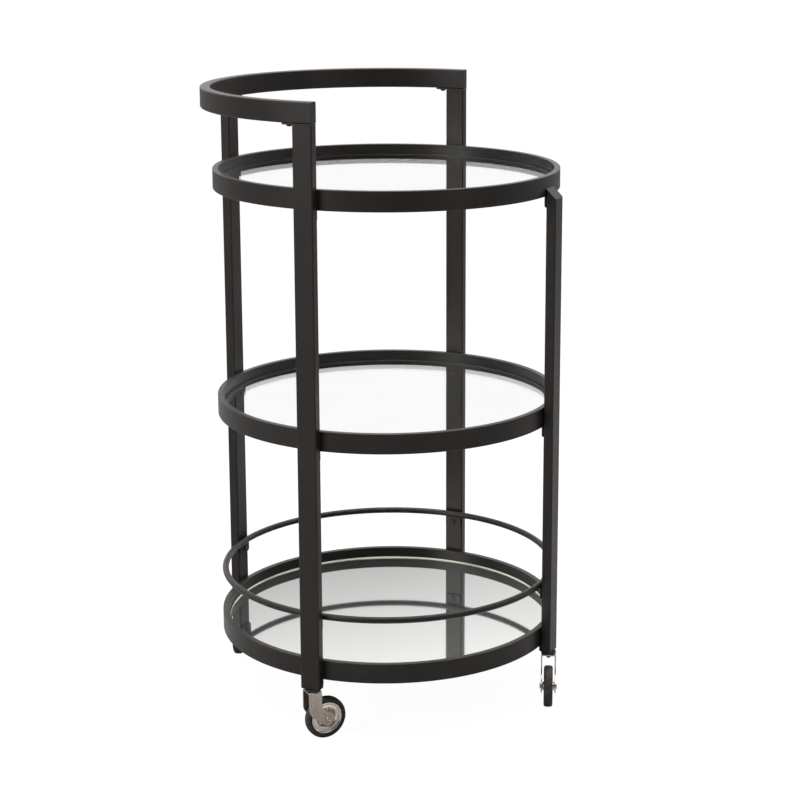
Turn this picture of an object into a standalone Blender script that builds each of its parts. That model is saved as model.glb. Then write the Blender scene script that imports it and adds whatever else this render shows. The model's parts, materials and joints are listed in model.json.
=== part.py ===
"""A round three-tier bar cart on four swivel casters, modelled piece by piece.

The frame stands on the floor at z = 0, with its upright axis on the world Z axis.
The short post is at the front (-Y); the handle rests on the right, back and left posts.
"""

import math
from typing import NamedTuple

import bmesh
import bpy
from mathutils import Matrix, Vector

MM = 0.001

# Clearances
CONTACT_GAP = 0.3 * MM
RUNNING_GAP = 0.06 * MM
SCREW_HOLE_GAP = 0.3 * MM
PANE_GAP = 0.7 * MM

# Roundness of circles, in straight steps
FRAME_STEPS = 72
ROD_STEPS = 8
WHEEL_STEPS = 24
PIN_STEPS = 16
SCREW_STEPS = 8
CORNER_STEPS = 3

# Shelf rings and panes
SHELF_RADIUS = 216.0 * MM
RING_HEIGHT = 24.5 * MM
RING_WALL = 7.5 * MM
LEDGE_WIDTH = 5.0 * MM
LEDGE_THICKNESS = 2.1 * MM
PANE_RECESS = 13.0 * MM
PANE_THICKNESS = 5.0 * MM
SHELF_SPACING = 286.8 * MM
SHELF_NAMES = ("bottom", "middle", "top")

# Posts and handle
TUBE_WIDTH = 25.0 * MM
TUBE_DEPTH = 12.5 * MM
TUBE_WALL = 1.5 * MM
HANDLE_RISE = 101.0 * MM
SHORT_POST_RISE = 9.9 * MM

# Tongue plates under the handle
TONGUE_THICKNESS = 1.8 * MM
TONGUE_LENGTH = 15.2 * MM
TONGUE_WIDTH = 9.0 * MM
TONGUE_SCREW_REACH = 6.5 * MM

# Screw tabs on the rings and the rail
TAB_WIDTH = 22.0 * MM
TAB_DROP = 14.0 * MM
TAB_SCREW_DROP = 8.4 * MM
LOW_TAB_DROP = 9.2 * MM
LOW_TAB_SCREW_DROP = 4.6 * MM
LOW_TAB_RISE = 0.4 * MM
TAB_THICKNESS = 2.0 * MM
TAB_CORNER = 4.0 * MM
TAB_SET_IN = 0.6 * MM
TAB_ROOT = 5.0 * MM

# Gallery rail
RAIL_ROD_RADIUS = 4.0 * MM
RAIL_RISE = 54.7 * MM
RAIL_SET_IN = 0.6 * MM

# Pan-head screws
SCREW_RADIUS = 2.0 * MM
SCREW_HEAD_RADIUS = 3.4 * MM
SCREW_HEAD_HEIGHT = 2.0 * MM
SCREW_TIP = 1.0 * MM
DRIVE_RADIUS = 1.1 * MM
DRIVE_DEPTH = 0.9 * MM

# Casters
WHEEL_RADIUS = 26.0 * MM
TYRE_WIDTH = 11.4 * MM
TYRE_SHOULDER = 2.4 * MM
TYRE_BEAD_SHARE = 0.84
HUB_RADIUS = 20.0 * MM
HUB_BOSS_WALL = 2.2 * MM
HUB_BOSS_FLARE = 1.2 * MM
CASTER_TRAIL = 16.8 * MM
FORK_HEADROOM = 12.2 * MM
FORK_OUTER_WIDTH = 19.0 * MM
FORK_STRIP = 17.0 * MM
FORK_SHEET = 1.6 * MM
FORK_BEND = 3.0 * MM
FORK_EYE_RADIUS = 8.3 * MM
FORK_EYE_ANGLES = (235.0, 415.0)
AXLE_RADIUS = 2.5 * MM
AXLE_HEAD_RADIUS = 3.6 * MM
AXLE_HEAD_THICKNESS = 1.1 * MM
KING_PIN_RADIUS = 3.0 * MM
KING_PIN_TAIL_RADIUS = 4.4 * MM
KING_PIN_TAIL = 5.2 * MM
COLLAR_THICKNESS = 2.4 * MM
SOCKET_INSERT = 18.0 * MM
SOCKET_COLLAR_RADIUS = 9.2 * MM
SOCKET_STEM_DEPTH = 14.0 * MM

# The fork's side edges: how far up each starts to sweep back, as a share of the fork's height,
# and how high over the axle it aims, in eye radii
FORK_FRONT_SWEEP = (0.66, 0.7)
FORK_BACK_SWEEP = (0.74, 1.5)

# The hub's face from its boss to its rim, as shares of the hub's radius and the tyre's width
HUB_FACE = ((0.62, 0.38), (0.83, 0.34), (0.93, 0.44), (1.0, 0.36))

# Edges flatter than this many degrees are shaded smooth
SMOOTH_ANGLE = 46.0

# Where each post stands, and which way its caster trails at rest, in degrees from +X
POST_ANGLES = {"right": 0.0, "back": 90.0, "left": 180.0, "front": -90.0}
TONGUE_SIDES = {"right": 1, "back": -1, "left": -1}
TRAIL_ANGLES = {"right": 142.3, "back": -160.1, "left": -37.7, "front": -160.1}

# Worked out from the sizes above
TUBE_INNER_FACE = SHELF_RADIUS + CONTACT_GAP
TUBE_OUTER_FACE = TUBE_INNER_FACE + TUBE_DEPTH
POST_RADIUS = (TUBE_INNER_FACE + TUBE_OUTER_FACE) / 2
FORK_TOP = 2 * WHEEL_RADIUS + FORK_HEADROOM
POST_FOOT = FORK_TOP + COLLAR_THICKNESS + 2 * CONTACT_GAP
BOTTOM_SHELF_TOP = POST_FOOT + LOW_TAB_RISE + LOW_TAB_DROP + RING_HEIGHT
TOP_SHELF_TOP = BOTTOM_SHELF_TOP + SHELF_SPACING * (len(SHELF_NAMES) - 1)
HANDLE_TOP = TOP_SHELF_TOP + HANDLE_RISE
HANDLE_BOTTOM = HANDLE_TOP - TUBE_WIDTH
TONGUE_TOP = HANDLE_BOTTOM - CONTACT_GAP
LONG_POST_TOP = TONGUE_TOP - TONGUE_THICKNESS - CONTACT_GAP
RING_INNER_RADIUS = SHELF_RADIUS - RING_WALL
LEDGE_INNER_RADIUS = RING_INNER_RADIUS - LEDGE_WIDTH
TAB_OUTER_FACE = SHELF_RADIUS - TAB_SET_IN
TAB_INNER_FACE = TAB_OUTER_FACE - TAB_THICKNESS
RAIL_HEIGHT = BOTTOM_SHELF_TOP + RAIL_RISE
RAIL_RADIUS = SHELF_RADIUS - RAIL_SET_IN - RAIL_ROD_RADIUS
SCREW_HOLE_RADIUS = SCREW_RADIUS + SCREW_HOLE_GAP
SCREW_SEAT = TAB_INNER_FACE - CONTACT_GAP
SCREW_LENGTH = TUBE_INNER_FACE + TUBE_WALL + SCREW_TIP - SCREW_SEAT
AXLE_HEIGHT = WHEEL_RADIUS
FORK_INNER_HALF = FORK_OUTER_WIDTH / 2 - FORK_SHEET


class TabStyle(NamedTuple):
    """How far a screw tab hangs below its ring or rail, and how far down its screw is."""

    drop: float
    screw_drop: float


TALL_TAB = TabStyle(TAB_DROP, TAB_SCREW_DROP)
LOW_TAB = TabStyle(LOW_TAB_DROP, LOW_TAB_SCREW_DROP)


# ---------------------------------------------------------------- scene and materials


def clear_scene():
    """Removes every object that the new file starts with."""
    for obj in list(bpy.data.objects):
        bpy.data.objects.remove(obj, do_unlink=True)


def make_collection(name, hidden=False):
    """Adds a collection to the scene."""
    collection = bpy.data.collections.new(name)
    collection.hide_render = hidden
    bpy.context.scene.collection.children.link(collection)
    return collection


def make_material(name, colour, roughness, metallic):
    """Makes a plain material from one colour, roughness and metallic value."""
    material = bpy.data.materials.new(name)
    material.use_nodes = True
    shader = material.node_tree.nodes["Principled BSDF"]
    shader.inputs["Base Color"].default_value = (*colour, 1.0)
    shader.inputs["Roughness"].default_value = roughness
    shader.inputs["Metallic"].default_value = metallic
    return material


def make_materials():
    """Makes the cart's seven finishes."""
    return {
        "bronze_paint": make_material("bronze_paint", (0.045, 0.036, 0.031), 0.42, 0.35),
        "clear_glass": make_material("clear_glass", (0.86, 0.93, 0.90), 0.05, 0.0),
        "mirror_glass": make_material("mirror_glass", (0.88, 0.89, 0.90), 0.04, 1.0),
        "black_screw": make_material("black_screw", (0.030, 0.028, 0.027), 0.35, 0.8),
        "nickel_steel": make_material("nickel_steel", (0.55, 0.50, 0.45), 0.30, 1.0),
        "black_plastic": make_material("black_plastic", (0.02, 0.02, 0.02), 0.55, 0.0),
        "black_rubber": make_material("black_rubber", (0.018, 0.018, 0.018), 0.75, 0.0),
    }


# ---------------------------------------------------------------- shape helpers


def new_object(name, data, collection):
    """Links a new object that holds the given mesh or curve."""
    obj = bpy.data.objects.new(name, data)
    collection.objects.link(obj)
    return obj


def bake(obj):
    """Turns an object and its modifiers into a plain mesh in place, and returns it."""
    bpy.context.view_layer.update()
    shape = obj.evaluated_get(bpy.context.evaluated_depsgraph_get())
    mesh = bpy.data.meshes.new_from_object(shape)
    soft = bmesh.new()
    soft.from_mesh(mesh)
    bmesh.ops.remove_doubles(soft, verts=soft.verts, dist=1e-6)
    soft.to_mesh(mesh)
    soft.free()
    baked = new_object(obj.name, mesh, obj.users_collection[0])
    baked.matrix_world = obj.matrix_world.copy()
    name = obj.name
    bpy.data.objects.remove(obj, do_unlink=True)
    baked.name = name
    return baked


def join(name, objects):
    """Joins meshes that stand apart into one object."""
    for obj in bpy.context.selected_objects:
        obj.select_set(False)
    for obj in objects:
        obj.select_set(True)
    bpy.context.view_layer.objects.active = objects[0]
    bpy.ops.object.join()
    objects[0].name = name
    return objects[0]


def move(obj, matrix):
    """Carries an object's mesh through a matrix, and leaves its object at the origin."""
    bpy.context.view_layer.update()
    obj.data.transform(matrix @ obj.matrix_world)
    obj.matrix_world = Matrix.Identity(4)
    return obj


def turned(name, profile, steps, collection):
    """Turns a profile of (radius, height) points, given from top to bottom, about Z."""
    mesh = bpy.data.meshes.new(name)
    vertices = [(radius, 0.0, height) for radius, height in profile]
    edges = [(i, i + 1) for i in range(len(vertices) - 1)]
    mesh.from_pydata(vertices, edges, [])
    obj = new_object(name, mesh, collection)
    screw = obj.modifiers.new("turn", "SCREW")
    screw.steps = steps
    screw.render_steps = steps
    screw.use_merge_vertices = True
    screw.merge_threshold = 1e-5
    return bake(obj)


def prism(name, outline, thickness, collection):
    """Extrudes a flat outline of (x, y) points evenly about z = 0."""
    curve = bpy.data.curves.new(name, "CURVE")
    curve.dimensions = "2D"
    curve.fill_mode = "BOTH"
    curve.extrude = thickness / 2
    spline = curve.splines.new("POLY")
    spline.points.add(len(outline) - 1)
    for point, (x, y) in zip(spline.points, outline):
        point.co = (x, y, 0.0, 1.0)
    spline.use_cyclic_u = True
    return bake(new_object(name, curve, collection))


def box(name, low, high, collection):
    """Makes a box between two corners."""
    low, high = Vector(low), Vector(high)
    bpy.ops.mesh.primitive_cube_add(size=1.0, location=(low + high) / 2)
    obj = bpy.context.active_object
    obj.name = name
    obj.scale = high - low
    for other in list(obj.users_collection):
        other.objects.unlink(obj)
    collection.objects.link(obj)
    return move(obj, Matrix.Identity(4))


def rod(name, start, end, radius, steps, collection):
    """Makes a round bar between two points."""
    start, end = Vector(start), Vector(end)
    along = end - start
    bpy.ops.mesh.primitive_cylinder_add(vertices=steps, radius=radius, depth=along.length)
    obj = bpy.context.active_object
    obj.name = name
    for other in list(obj.users_collection):
        other.objects.unlink(obj)
    collection.objects.link(obj)
    turn = along.to_track_quat("Z", "Y").to_matrix().to_4x4()
    return move(obj, Matrix.Translation((start + end) / 2) @ turn)


def combine(obj, other, operation):
    """Cuts, joins or intersects one solid with another, which stays as a hidden cutter."""
    other.display_type = "WIRE"
    other.hide_render = True
    modifier = obj.modifiers.new(operation.lower(), "BOOLEAN")
    modifier.operation = operation
    modifier.solver = "EXACT"
    modifier.object = other
    return bake(obj)


def arc(centre, radius, start, end, steps):
    """Lists the points of an arc between two angles in degrees, both ends included."""
    points = []
    for step in range(steps + 1):
        angle = math.radians(start + (end - start) * step / steps)
        points.append((centre[0] + radius * math.cos(angle), centre[1] + radius * math.sin(angle)))
    return points


def bend(start, control, end, steps):
    """Lists the points of a smooth bend from start towards control and on to end."""
    points = []
    for step in range(1, steps):
        t = step / steps
        weights = ((1 - t) ** 2, 2 * t * (1 - t), t**2)
        points.append(
            tuple(sum(w * p[i] for w, p in zip(weights, (start, control, end))) for i in (0, 1))
        )
    return [start, *points, end]


def about_z(degrees):
    """Gives the matrix that turns about the upright axis."""
    return Matrix.Rotation(math.radians(degrees), 4, "Z")


def out_along_x():
    """Gives the matrix that lays a piece's own +Z along +X and keeps +Y."""
    return Matrix.Rotation(math.radians(90.0), 4, "Y")


def upright_outline():
    """Gives the matrix that stands a flat (x, y) outline up in the XZ plane."""
    return Matrix.Rotation(math.radians(90.0), 4, "X")


def finish(obj, material, matrix, origin=(0.0, 0.0, 0.0), smooth=True):
    """Places a finished piece, sets its origin and shading, and gives it its material.

    The matrix takes the piece from where it was modelled to its place on the cart.
    """
    move(obj, matrix)
    obj.data.transform(Matrix.Translation(-Vector(origin)))
    obj.location = origin
    obj.data.materials.clear()
    obj.data.materials.append(material)
    if smooth:
        obj.data.shade_smooth()
        obj.data.set_sharp_from_angle(angle=math.radians(SMOOTH_ANGLE))
    return obj


# ---------------------------------------------------------------- frame


def tab_outline(style):
    """Gives a screw tab's outline, its root at the top: x across it and y down from 0."""
    half = TAB_WIDTH / 2
    corner_x = half - TAB_CORNER
    corner_y = TAB_CORNER - style.drop
    right = arc((corner_x, corner_y), TAB_CORNER, 0.0, -90.0, CORNER_STEPS)
    left = arc((-corner_x, corner_y), TAB_CORNER, -90.0, -180.0, CORNER_STEPS)
    return [(half, TAB_ROOT), *right, *left, (-half, TAB_ROOT)]


def tab_set(name, style, root_height, collection):
    """Makes the four tabs that hang from a ring or rail at the given height."""
    tabs = []
    for place, angle in POST_ANGLES.items():
        tab = prism(f"{name}_{place}", tab_outline(style), TAB_THICKNESS, collection)
        stand = Matrix.Rotation(math.radians(90.0), 4, "Z") @ upright_outline()
        middle = (TAB_INNER_FACE + TAB_OUTER_FACE) / 2
        move(tab, about_z(angle) @ Matrix.Translation((middle, 0.0, root_height)) @ stand)
        tabs.append(tab)
    return join(name, tabs)


def radial_holes(name, height, start, end, radius, collection):
    """Makes four round cutters that point outwards at the posts."""
    cutters = []
    ends = ((start, 0, height), (end, 0, height))
    for place, angle in POST_ANGLES.items():
        cutter = rod(f"{name}_{place}", *ends, radius, SCREW_STEPS, collection)
        move(cutter, about_z(angle))
        cutters.append(cutter)
    return join(name, cutters)


def add_tabs(obj, style, root_height, cutters):
    """Welds four screw tabs to a ring or rail and drills them."""
    obj = combine(obj, tab_set(f"{obj.name}_tabs", style, root_height, cutters), "UNION")
    height = root_height - style.screw_drop
    reach = (TAB_INNER_FACE - TAB_THICKNESS, TAB_OUTER_FACE + TAB_THICKNESS)
    holes = radial_holes(f"{obj.name}_tab_holes", height, *reach, SCREW_HOLE_RADIUS, cutters)
    return combine(obj, holes, "DIFFERENCE")


def shelf_top(index):
    """Gives the height of a shelf ring's top edge, counted from the bottom shelf."""
    return BOTTOM_SHELF_TOP + SHELF_SPACING * index


def shelf_tab_style(index):
    """Gives the style of a shelf ring's tabs: low ones just above the casters."""
    return LOW_TAB if index == 0 else TALL_TAB


def make_shelf_ring(index, material, parts, cutters):
    """Makes one shelf's band with its inner ledge and its four screw tabs."""
    top = shelf_top(index)
    bottom = top - RING_HEIGHT
    ledge_top = top - PANE_RECESS - PANE_THICKNESS - CONTACT_GAP
    ledge_bottom = ledge_top - LEDGE_THICKNESS
    profile = [
        (SHELF_RADIUS, top),
        (SHELF_RADIUS, bottom),
        (RING_INNER_RADIUS, bottom),
        (RING_INNER_RADIUS, ledge_bottom),
        (LEDGE_INNER_RADIUS, ledge_bottom),
        (LEDGE_INNER_RADIUS, ledge_top),
        (RING_INNER_RADIUS, ledge_top),
        (RING_INNER_RADIUS, top),
        (SHELF_RADIUS, top),
    ]
    ring = turned(f"{SHELF_NAMES[index]}_shelf_ring", profile, FRAME_STEPS, parts)
    ring = add_tabs(ring, shelf_tab_style(index), bottom, cutters)
    return finish(ring, material, Matrix.Identity(4))


def make_pane(index, name, material, parts):
    """Makes the round pane that lies on a shelf ring's ledge."""
    top = shelf_top(index) - PANE_RECESS
    radius = RING_INNER_RADIUS - PANE_GAP
    bottom = top - PANE_THICKNESS
    profile = [(0.0, top), (radius, top), (radius, bottom), (0.0, bottom)]
    return finish(turned(name, profile, FRAME_STEPS, parts), material, Matrix.Identity(4))


def make_rail(material, parts, cutters):
    """Makes the round rail above the bottom shelf, with its four screw tabs."""
    bpy.ops.mesh.primitive_torus_add(
        major_segments=FRAME_STEPS,
        minor_segments=ROD_STEPS,
        major_radius=RAIL_RADIUS,
        minor_radius=RAIL_ROD_RADIUS,
        location=(0.0, 0.0, RAIL_HEIGHT),
    )
    rail = bpy.context.active_object
    rail.name = "gallery_rail"
    for other in list(rail.users_collection):
        other.objects.unlink(rail)
    parts.objects.link(rail)
    move(rail, Matrix.Identity(4))
    rail = add_tabs(rail, TALL_TAB, rail_tab_root(), cutters)
    return finish(rail, material, Matrix.Identity(4))


def rail_tab_root():
    """Gives the height of the underside of the rail's rod, where its tabs start."""
    return RAIL_HEIGHT - RAIL_ROD_RADIUS


def tube_section(name, height, top_outline, collection):
    """Makes an upright solid whose side view, out from the axis, is the given top."""
    outline = [(TUBE_INNER_FACE, height), (TUBE_OUTER_FACE, height), *top_outline]
    solid = prism(name, outline, TUBE_WIDTH, collection)
    return move(solid, upright_outline())


def screw_heights():
    """Gives the height of the screws in every post, by what they hold."""
    heights = {"rail": rail_tab_root() - TALL_TAB.screw_drop}
    for index, name in enumerate(SHELF_NAMES):
        ring_bottom = shelf_top(index) - RING_HEIGHT
        heights[f"{name}_shelf"] = ring_bottom - shelf_tab_style(index).screw_drop
    return heights


def drill_post(post, cutters):
    """Drills the inner wall of a post for the screws of the shelves and the rail."""
    reach = (TUBE_INNER_FACE - TUBE_WALL, TUBE_INNER_FACE + 2 * TUBE_WALL)
    holes = []
    for holder, height in screw_heights().items():
        ends = ((reach[0], 0, height), (reach[1], 0, height))
        name = f"{post.name}_{holder}_hole"
        holes.append(rod(name, *ends, SCREW_HOLE_RADIUS, SCREW_STEPS, cutters))
    return combine(post, join(f"{post.name}_holes", holes), "DIFFERENCE")


def make_long_post(place, material, parts, cutters):
    """Makes one of the three posts that carry the handle: a tube open at both ends."""
    outer = box(
        f"{place}_post",
        (TUBE_INNER_FACE, -TUBE_WIDTH / 2, POST_FOOT),
        (TUBE_OUTER_FACE, TUBE_WIDTH / 2, LONG_POST_TOP),
        parts,
    )
    inner = box(
        f"{place}_post_bore",
        (TUBE_INNER_FACE + TUBE_WALL, TUBE_WALL - TUBE_WIDTH / 2, POST_FOOT - TUBE_WALL),
        (TUBE_OUTER_FACE - TUBE_WALL, TUBE_WIDTH / 2 - TUBE_WALL, LONG_POST_TOP + TUBE_WALL),
        cutters,
    )
    post = drill_post(combine(outer, inner, "DIFFERENCE"), cutters)
    return finish(post, material, about_z(POST_ANGLES[place]), smooth=False)


def short_post_outline(inset, foot):
    """Gives the short post's side view, drawn in from its outside by an inset."""
    inner_top = TOP_SHELF_TOP - RING_HEIGHT + SHORT_POST_RISE
    slope_drop = inset * math.sqrt(2.0)
    low_x = TUBE_INNER_FACE + inset
    high_x = TUBE_OUTER_FACE - inset
    top_at_low_x = inner_top - slope_drop - inset
    return [
        (low_x, foot),
        (high_x, foot),
        (high_x, top_at_low_x - (high_x - low_x)),
        (low_x, top_at_low_x),
    ]


def make_short_post(material, parts, cutters):
    """Makes the front post, which ends at the top shelf in a cap slanted at 45 degrees."""
    outer = prism("front_post", short_post_outline(0.0, POST_FOOT), TUBE_WIDTH, parts)
    outer = move(outer, upright_outline())
    foot = POST_FOOT - TUBE_WALL
    inner_width = TUBE_WIDTH - 2 * TUBE_WALL
    inner = prism("front_post_bore", short_post_outline(TUBE_WALL, foot), inner_width, cutters)
    inner = move(inner, upright_outline())
    post = drill_post(combine(outer, inner, "DIFFERENCE"), cutters)
    return finish(post, material, about_z(POST_ANGLES["front"]), smooth=False)


def handle_outline(inset):
    """Gives the handle's plan: a half ring whose ends run on to the posts' far sides."""
    outer = TUBE_OUTER_FACE - inset
    inner = TUBE_INNER_FACE + inset
    end = inset - TUBE_WIDTH / 2
    steps = FRAME_STEPS // 2
    return [
        (outer, end),
        *arc((0.0, 0.0), outer, 0.0, 180.0, steps),
        (-outer, end),
        (-inner, end),
        *arc((0.0, 0.0), inner, 180.0, 0.0, steps),
        (inner, end),
    ]


def tongue_screw_place(place):
    """Gives the (x, y) of a tongue's screw on the cart, on the handle's centre line."""
    along = TUBE_WIDTH / 2 + TONGUE_SCREW_REACH
    turn = math.asin(along / POST_RADIUS) * TONGUE_SIDES[place]
    angle = math.radians(POST_ANGLES[place]) + turn
    return POST_RADIUS * math.cos(angle), POST_RADIUS * math.sin(angle)


def make_handle(material, parts, cutters):
    """Makes the hollow half-ring handle, with three screw holes in its underside."""
    middle = Matrix.Translation((0.0, 0.0, HANDLE_TOP - TUBE_WIDTH / 2))
    handle = move(prism("handle", handle_outline(0.0), TUBE_WIDTH, parts), middle)
    hollow_height = TUBE_WIDTH - 2 * TUBE_WALL
    hollow = move(prism("handle_hollow", handle_outline(TUBE_WALL), hollow_height, cutters), middle)
    handle = combine(handle, hollow, "DIFFERENCE")
    holes = []
    for place in TONGUE_SIDES:
        x, y = tongue_screw_place(place)
        ends = ((x, y, HANDLE_BOTTOM - TUBE_WALL), (x, y, HANDLE_BOTTOM + 2 * TUBE_WALL))
        holes.append(rod(f"handle_hole_{place}", *ends, SCREW_HOLE_RADIUS, SCREW_STEPS, cutters))
    handle = combine(handle, join("handle_holes", holes), "DIFFERENCE")
    return finish(handle, material, Matrix.Identity(4))


def make_tongue(place, material, parts, cutters):
    """Makes the plate on a long post's top, whose tongue is screwed to the handle."""
    half = TUBE_WIDTH / 2
    drop = POST_RADIUS - math.sqrt(POST_RADIUS**2 - (half + TONGUE_SCREW_REACH) ** 2)
    tongue_middle = POST_RADIUS - drop
    low = tongue_middle - TONGUE_WIDTH / 2
    high = tongue_middle + TONGUE_WIDTH / 2
    corner = TONGUE_WIDTH / 3
    end = half + TONGUE_LENGTH - corner
    outline = [
        (TUBE_INNER_FACE, -half),
        (TUBE_OUTER_FACE, -half),
        (TUBE_OUTER_FACE, half),
        (high, half),
        *arc((high - corner, end), corner, 0.0, 90.0, CORNER_STEPS),
        *arc((low + corner, end), corner, 90.0, 180.0, CORNER_STEPS),
        (low, half),
        (TUBE_INNER_FACE, half),
    ]
    if TONGUE_SIDES[place] < 0:
        outline = [(x, -y) for x, y in reversed(outline)]
    plate = prism(f"{place}_tongue_plate", outline, TONGUE_THICKNESS, parts)
    lift = Matrix.Translation((0.0, 0.0, TONGUE_TOP - TONGUE_THICKNESS / 2))
    plate = move(plate, about_z(POST_ANGLES[place]) @ lift)
    x, y = tongue_screw_place(place)
    ends = ((x, y, TONGUE_TOP - 2 * TONGUE_THICKNESS), (x, y, TONGUE_TOP + TONGUE_THICKNESS))
    hole = rod(f"{place}_tongue_hole", *ends, SCREW_HOLE_RADIUS, SCREW_STEPS, cutters)
    return finish(combine(plate, hole, "DIFFERENCE"), material, Matrix.Identity(4))


def make_screw(name, length, matrix, material, parts):
    """Makes a pan-head screw: its head's seat at the origin and its shank along +Z."""
    crown = -SCREW_HEAD_HEIGHT
    shoulder = crown * 0.45
    profile = [
        (0.0, length),
        (SCREW_RADIUS, length),
        (SCREW_RADIUS, 0.0),
        (SCREW_HEAD_RADIUS, 0.0),
        (SCREW_HEAD_RADIUS, shoulder),
        (SCREW_HEAD_RADIUS * 0.72, crown),
        (DRIVE_RADIUS, crown),
        (DRIVE_RADIUS, crown + DRIVE_DEPTH),
        (0.0, crown + DRIVE_DEPTH),
    ]
    return finish(turned(name, profile, SCREW_STEPS, parts), material, matrix)


def make_frame_screws(material, parts):
    """Makes the screws of every shelf tab and rail tab, and those of the tongues."""
    for holder, height in screw_heights().items():
        seat = Matrix.Translation((SCREW_SEAT, 0.0, height)) @ out_along_x()
        for place, angle in POST_ANGLES.items():
            name = f"{holder}_screw_{place}"
            make_screw(name, SCREW_LENGTH, about_z(angle) @ seat, material, parts)
    seat_height = TONGUE_TOP - TONGUE_THICKNESS - CONTACT_GAP
    length = HANDLE_BOTTOM + TUBE_WALL + SCREW_TIP - seat_height
    for place in TONGUE_SIDES:
        x, y = tongue_screw_place(place)
        seat = Matrix.Translation((x, y, seat_height))
        make_screw(f"handle_screw_{place}", length, seat, material, parts)


# ---------------------------------------------------------------- casters


def post_centre(place):
    """Gives the place of a post's centre line at floor level."""
    return about_z(POST_ANGLES[place]) @ Vector((POST_RADIUS, 0.0, 0.0))


def make_socket(place, material, parts, cutters):
    """Makes the plastic socket in a post's foot, with its collar under the tube."""
    half_width = TUBE_WIDTH / 2 - TUBE_WALL - CONTACT_GAP
    half_depth = TUBE_DEPTH / 2 - TUBE_WALL - CONTACT_GAP
    collar_top = POST_FOOT - CONTACT_GAP
    collar_bottom = FORK_TOP + CONTACT_GAP
    insert = box(
        f"{place}_caster_socket",
        (-half_depth, -half_width, (collar_top + collar_bottom) / 2),
        (half_depth, half_width, POST_FOOT + SOCKET_INSERT),
        parts,
    )
    ends = ((0, 0, collar_bottom), (0, 0, collar_top))
    collar = rod(f"{place}_socket_collar", *ends, SOCKET_COLLAR_RADIUS, WHEEL_STEPS, cutters)
    socket = combine(insert, collar, "UNION")
    bore_top = POST_FOOT + SOCKET_STEM_DEPTH + CONTACT_GAP
    ends = ((0, 0, collar_bottom - TUBE_WALL), (0, 0, bore_top))
    bore = rod(f"{place}_socket_bore", *ends, KING_PIN_RADIUS + RUNNING_GAP, PIN_STEPS, cutters)
    socket = combine(socket, bore, "DIFFERENCE")
    height = screw_heights()["bottom_shelf"]
    ends = ((-TUBE_DEPTH, 0, height), (0, 0, height))
    screw_hole = rod(f"{place}_socket_screw_hole", *ends, SCREW_HOLE_RADIUS, SCREW_STEPS, cutters)
    socket = combine(socket, screw_hole, "DIFFERENCE")
    foot = post_centre(place)
    return finish(socket, material, Matrix.Translation(foot) @ about_z(POST_ANGLES[place]))


def make_king_pin(place, material, parts):
    """Makes the king pin: a stem in the socket, and a riveted tail under the fork."""
    top = POST_FOOT + SOCKET_STEM_DEPTH
    tail_top = FORK_TOP - FORK_SHEET - CONTACT_GAP
    profile = [
        (0.0, top),
        (KING_PIN_RADIUS, top),
        (KING_PIN_RADIUS, tail_top),
        (KING_PIN_TAIL_RADIUS, tail_top),
        (KING_PIN_TAIL_RADIUS * 0.9, tail_top - KING_PIN_TAIL * 0.35),
        (KING_PIN_TAIL_RADIUS * 0.45, tail_top - KING_PIN_TAIL * 0.85),
        (0.0, tail_top - KING_PIN_TAIL),
    ]
    pin = turned(f"{place}_king_pin", profile, PIN_STEPS, parts)
    return finish(pin, material, Matrix.Translation(post_centre(place)))


def fork_front_outline():
    """Gives the fork's front view: a strip bent into a U that hangs from its top."""
    outer = FORK_OUTER_WIDTH / 2
    inner = FORK_INNER_HALF
    inner_bend = FORK_BEND - FORK_SHEET
    inner_top = FORK_TOP - FORK_SHEET
    outer_bend_height = FORK_TOP - FORK_BEND
    inner_bend_height = inner_top - inner_bend
    foot = 0.0
    outer_x = outer - FORK_BEND
    inner_x = inner - inner_bend
    return [
        (outer, foot),
        *arc((outer_x, outer_bend_height), FORK_BEND, 0.0, 90.0, CORNER_STEPS),
        *arc((-outer_x, outer_bend_height), FORK_BEND, 90.0, 180.0, CORNER_STEPS),
        (-outer, foot),
        (-inner, foot),
        *arc((-inner_x, inner_bend_height), inner_bend, 180.0, 90.0, CORNER_STEPS),
        *arc((inner_x, inner_bend_height), inner_bend, 90.0, 0.0, CORNER_STEPS),
        (inner, foot),
    ]


def fork_side_outline():
    """Gives the fork's side view: a strip that sweeps back to a round eye at the axle."""
    half = FORK_STRIP / 2
    above = FORK_TOP + FORK_SHEET
    eye = (CASTER_TRAIL, AXLE_HEIGHT)
    eye_arc = arc(eye, FORK_EYE_RADIUS, *FORK_EYE_ANGLES, 3 * CORNER_STEPS)
    front_start = (-half, FORK_TOP * FORK_FRONT_SWEEP[0])
    front_control = (-half, AXLE_HEIGHT + FORK_EYE_RADIUS * FORK_FRONT_SWEEP[1])
    back_end = (half, FORK_TOP * FORK_BACK_SWEEP[0])
    back_control = (half, AXLE_HEIGHT + FORK_EYE_RADIUS * FORK_BACK_SWEEP[1])
    front = bend(front_start, front_control, eye_arc[0], CORNER_STEPS)
    back = bend(eye_arc[-1], back_control, back_end, CORNER_STEPS)
    return [(half, above), (-half, above), *front[:-1], *eye_arc, *back[1:]]


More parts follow.
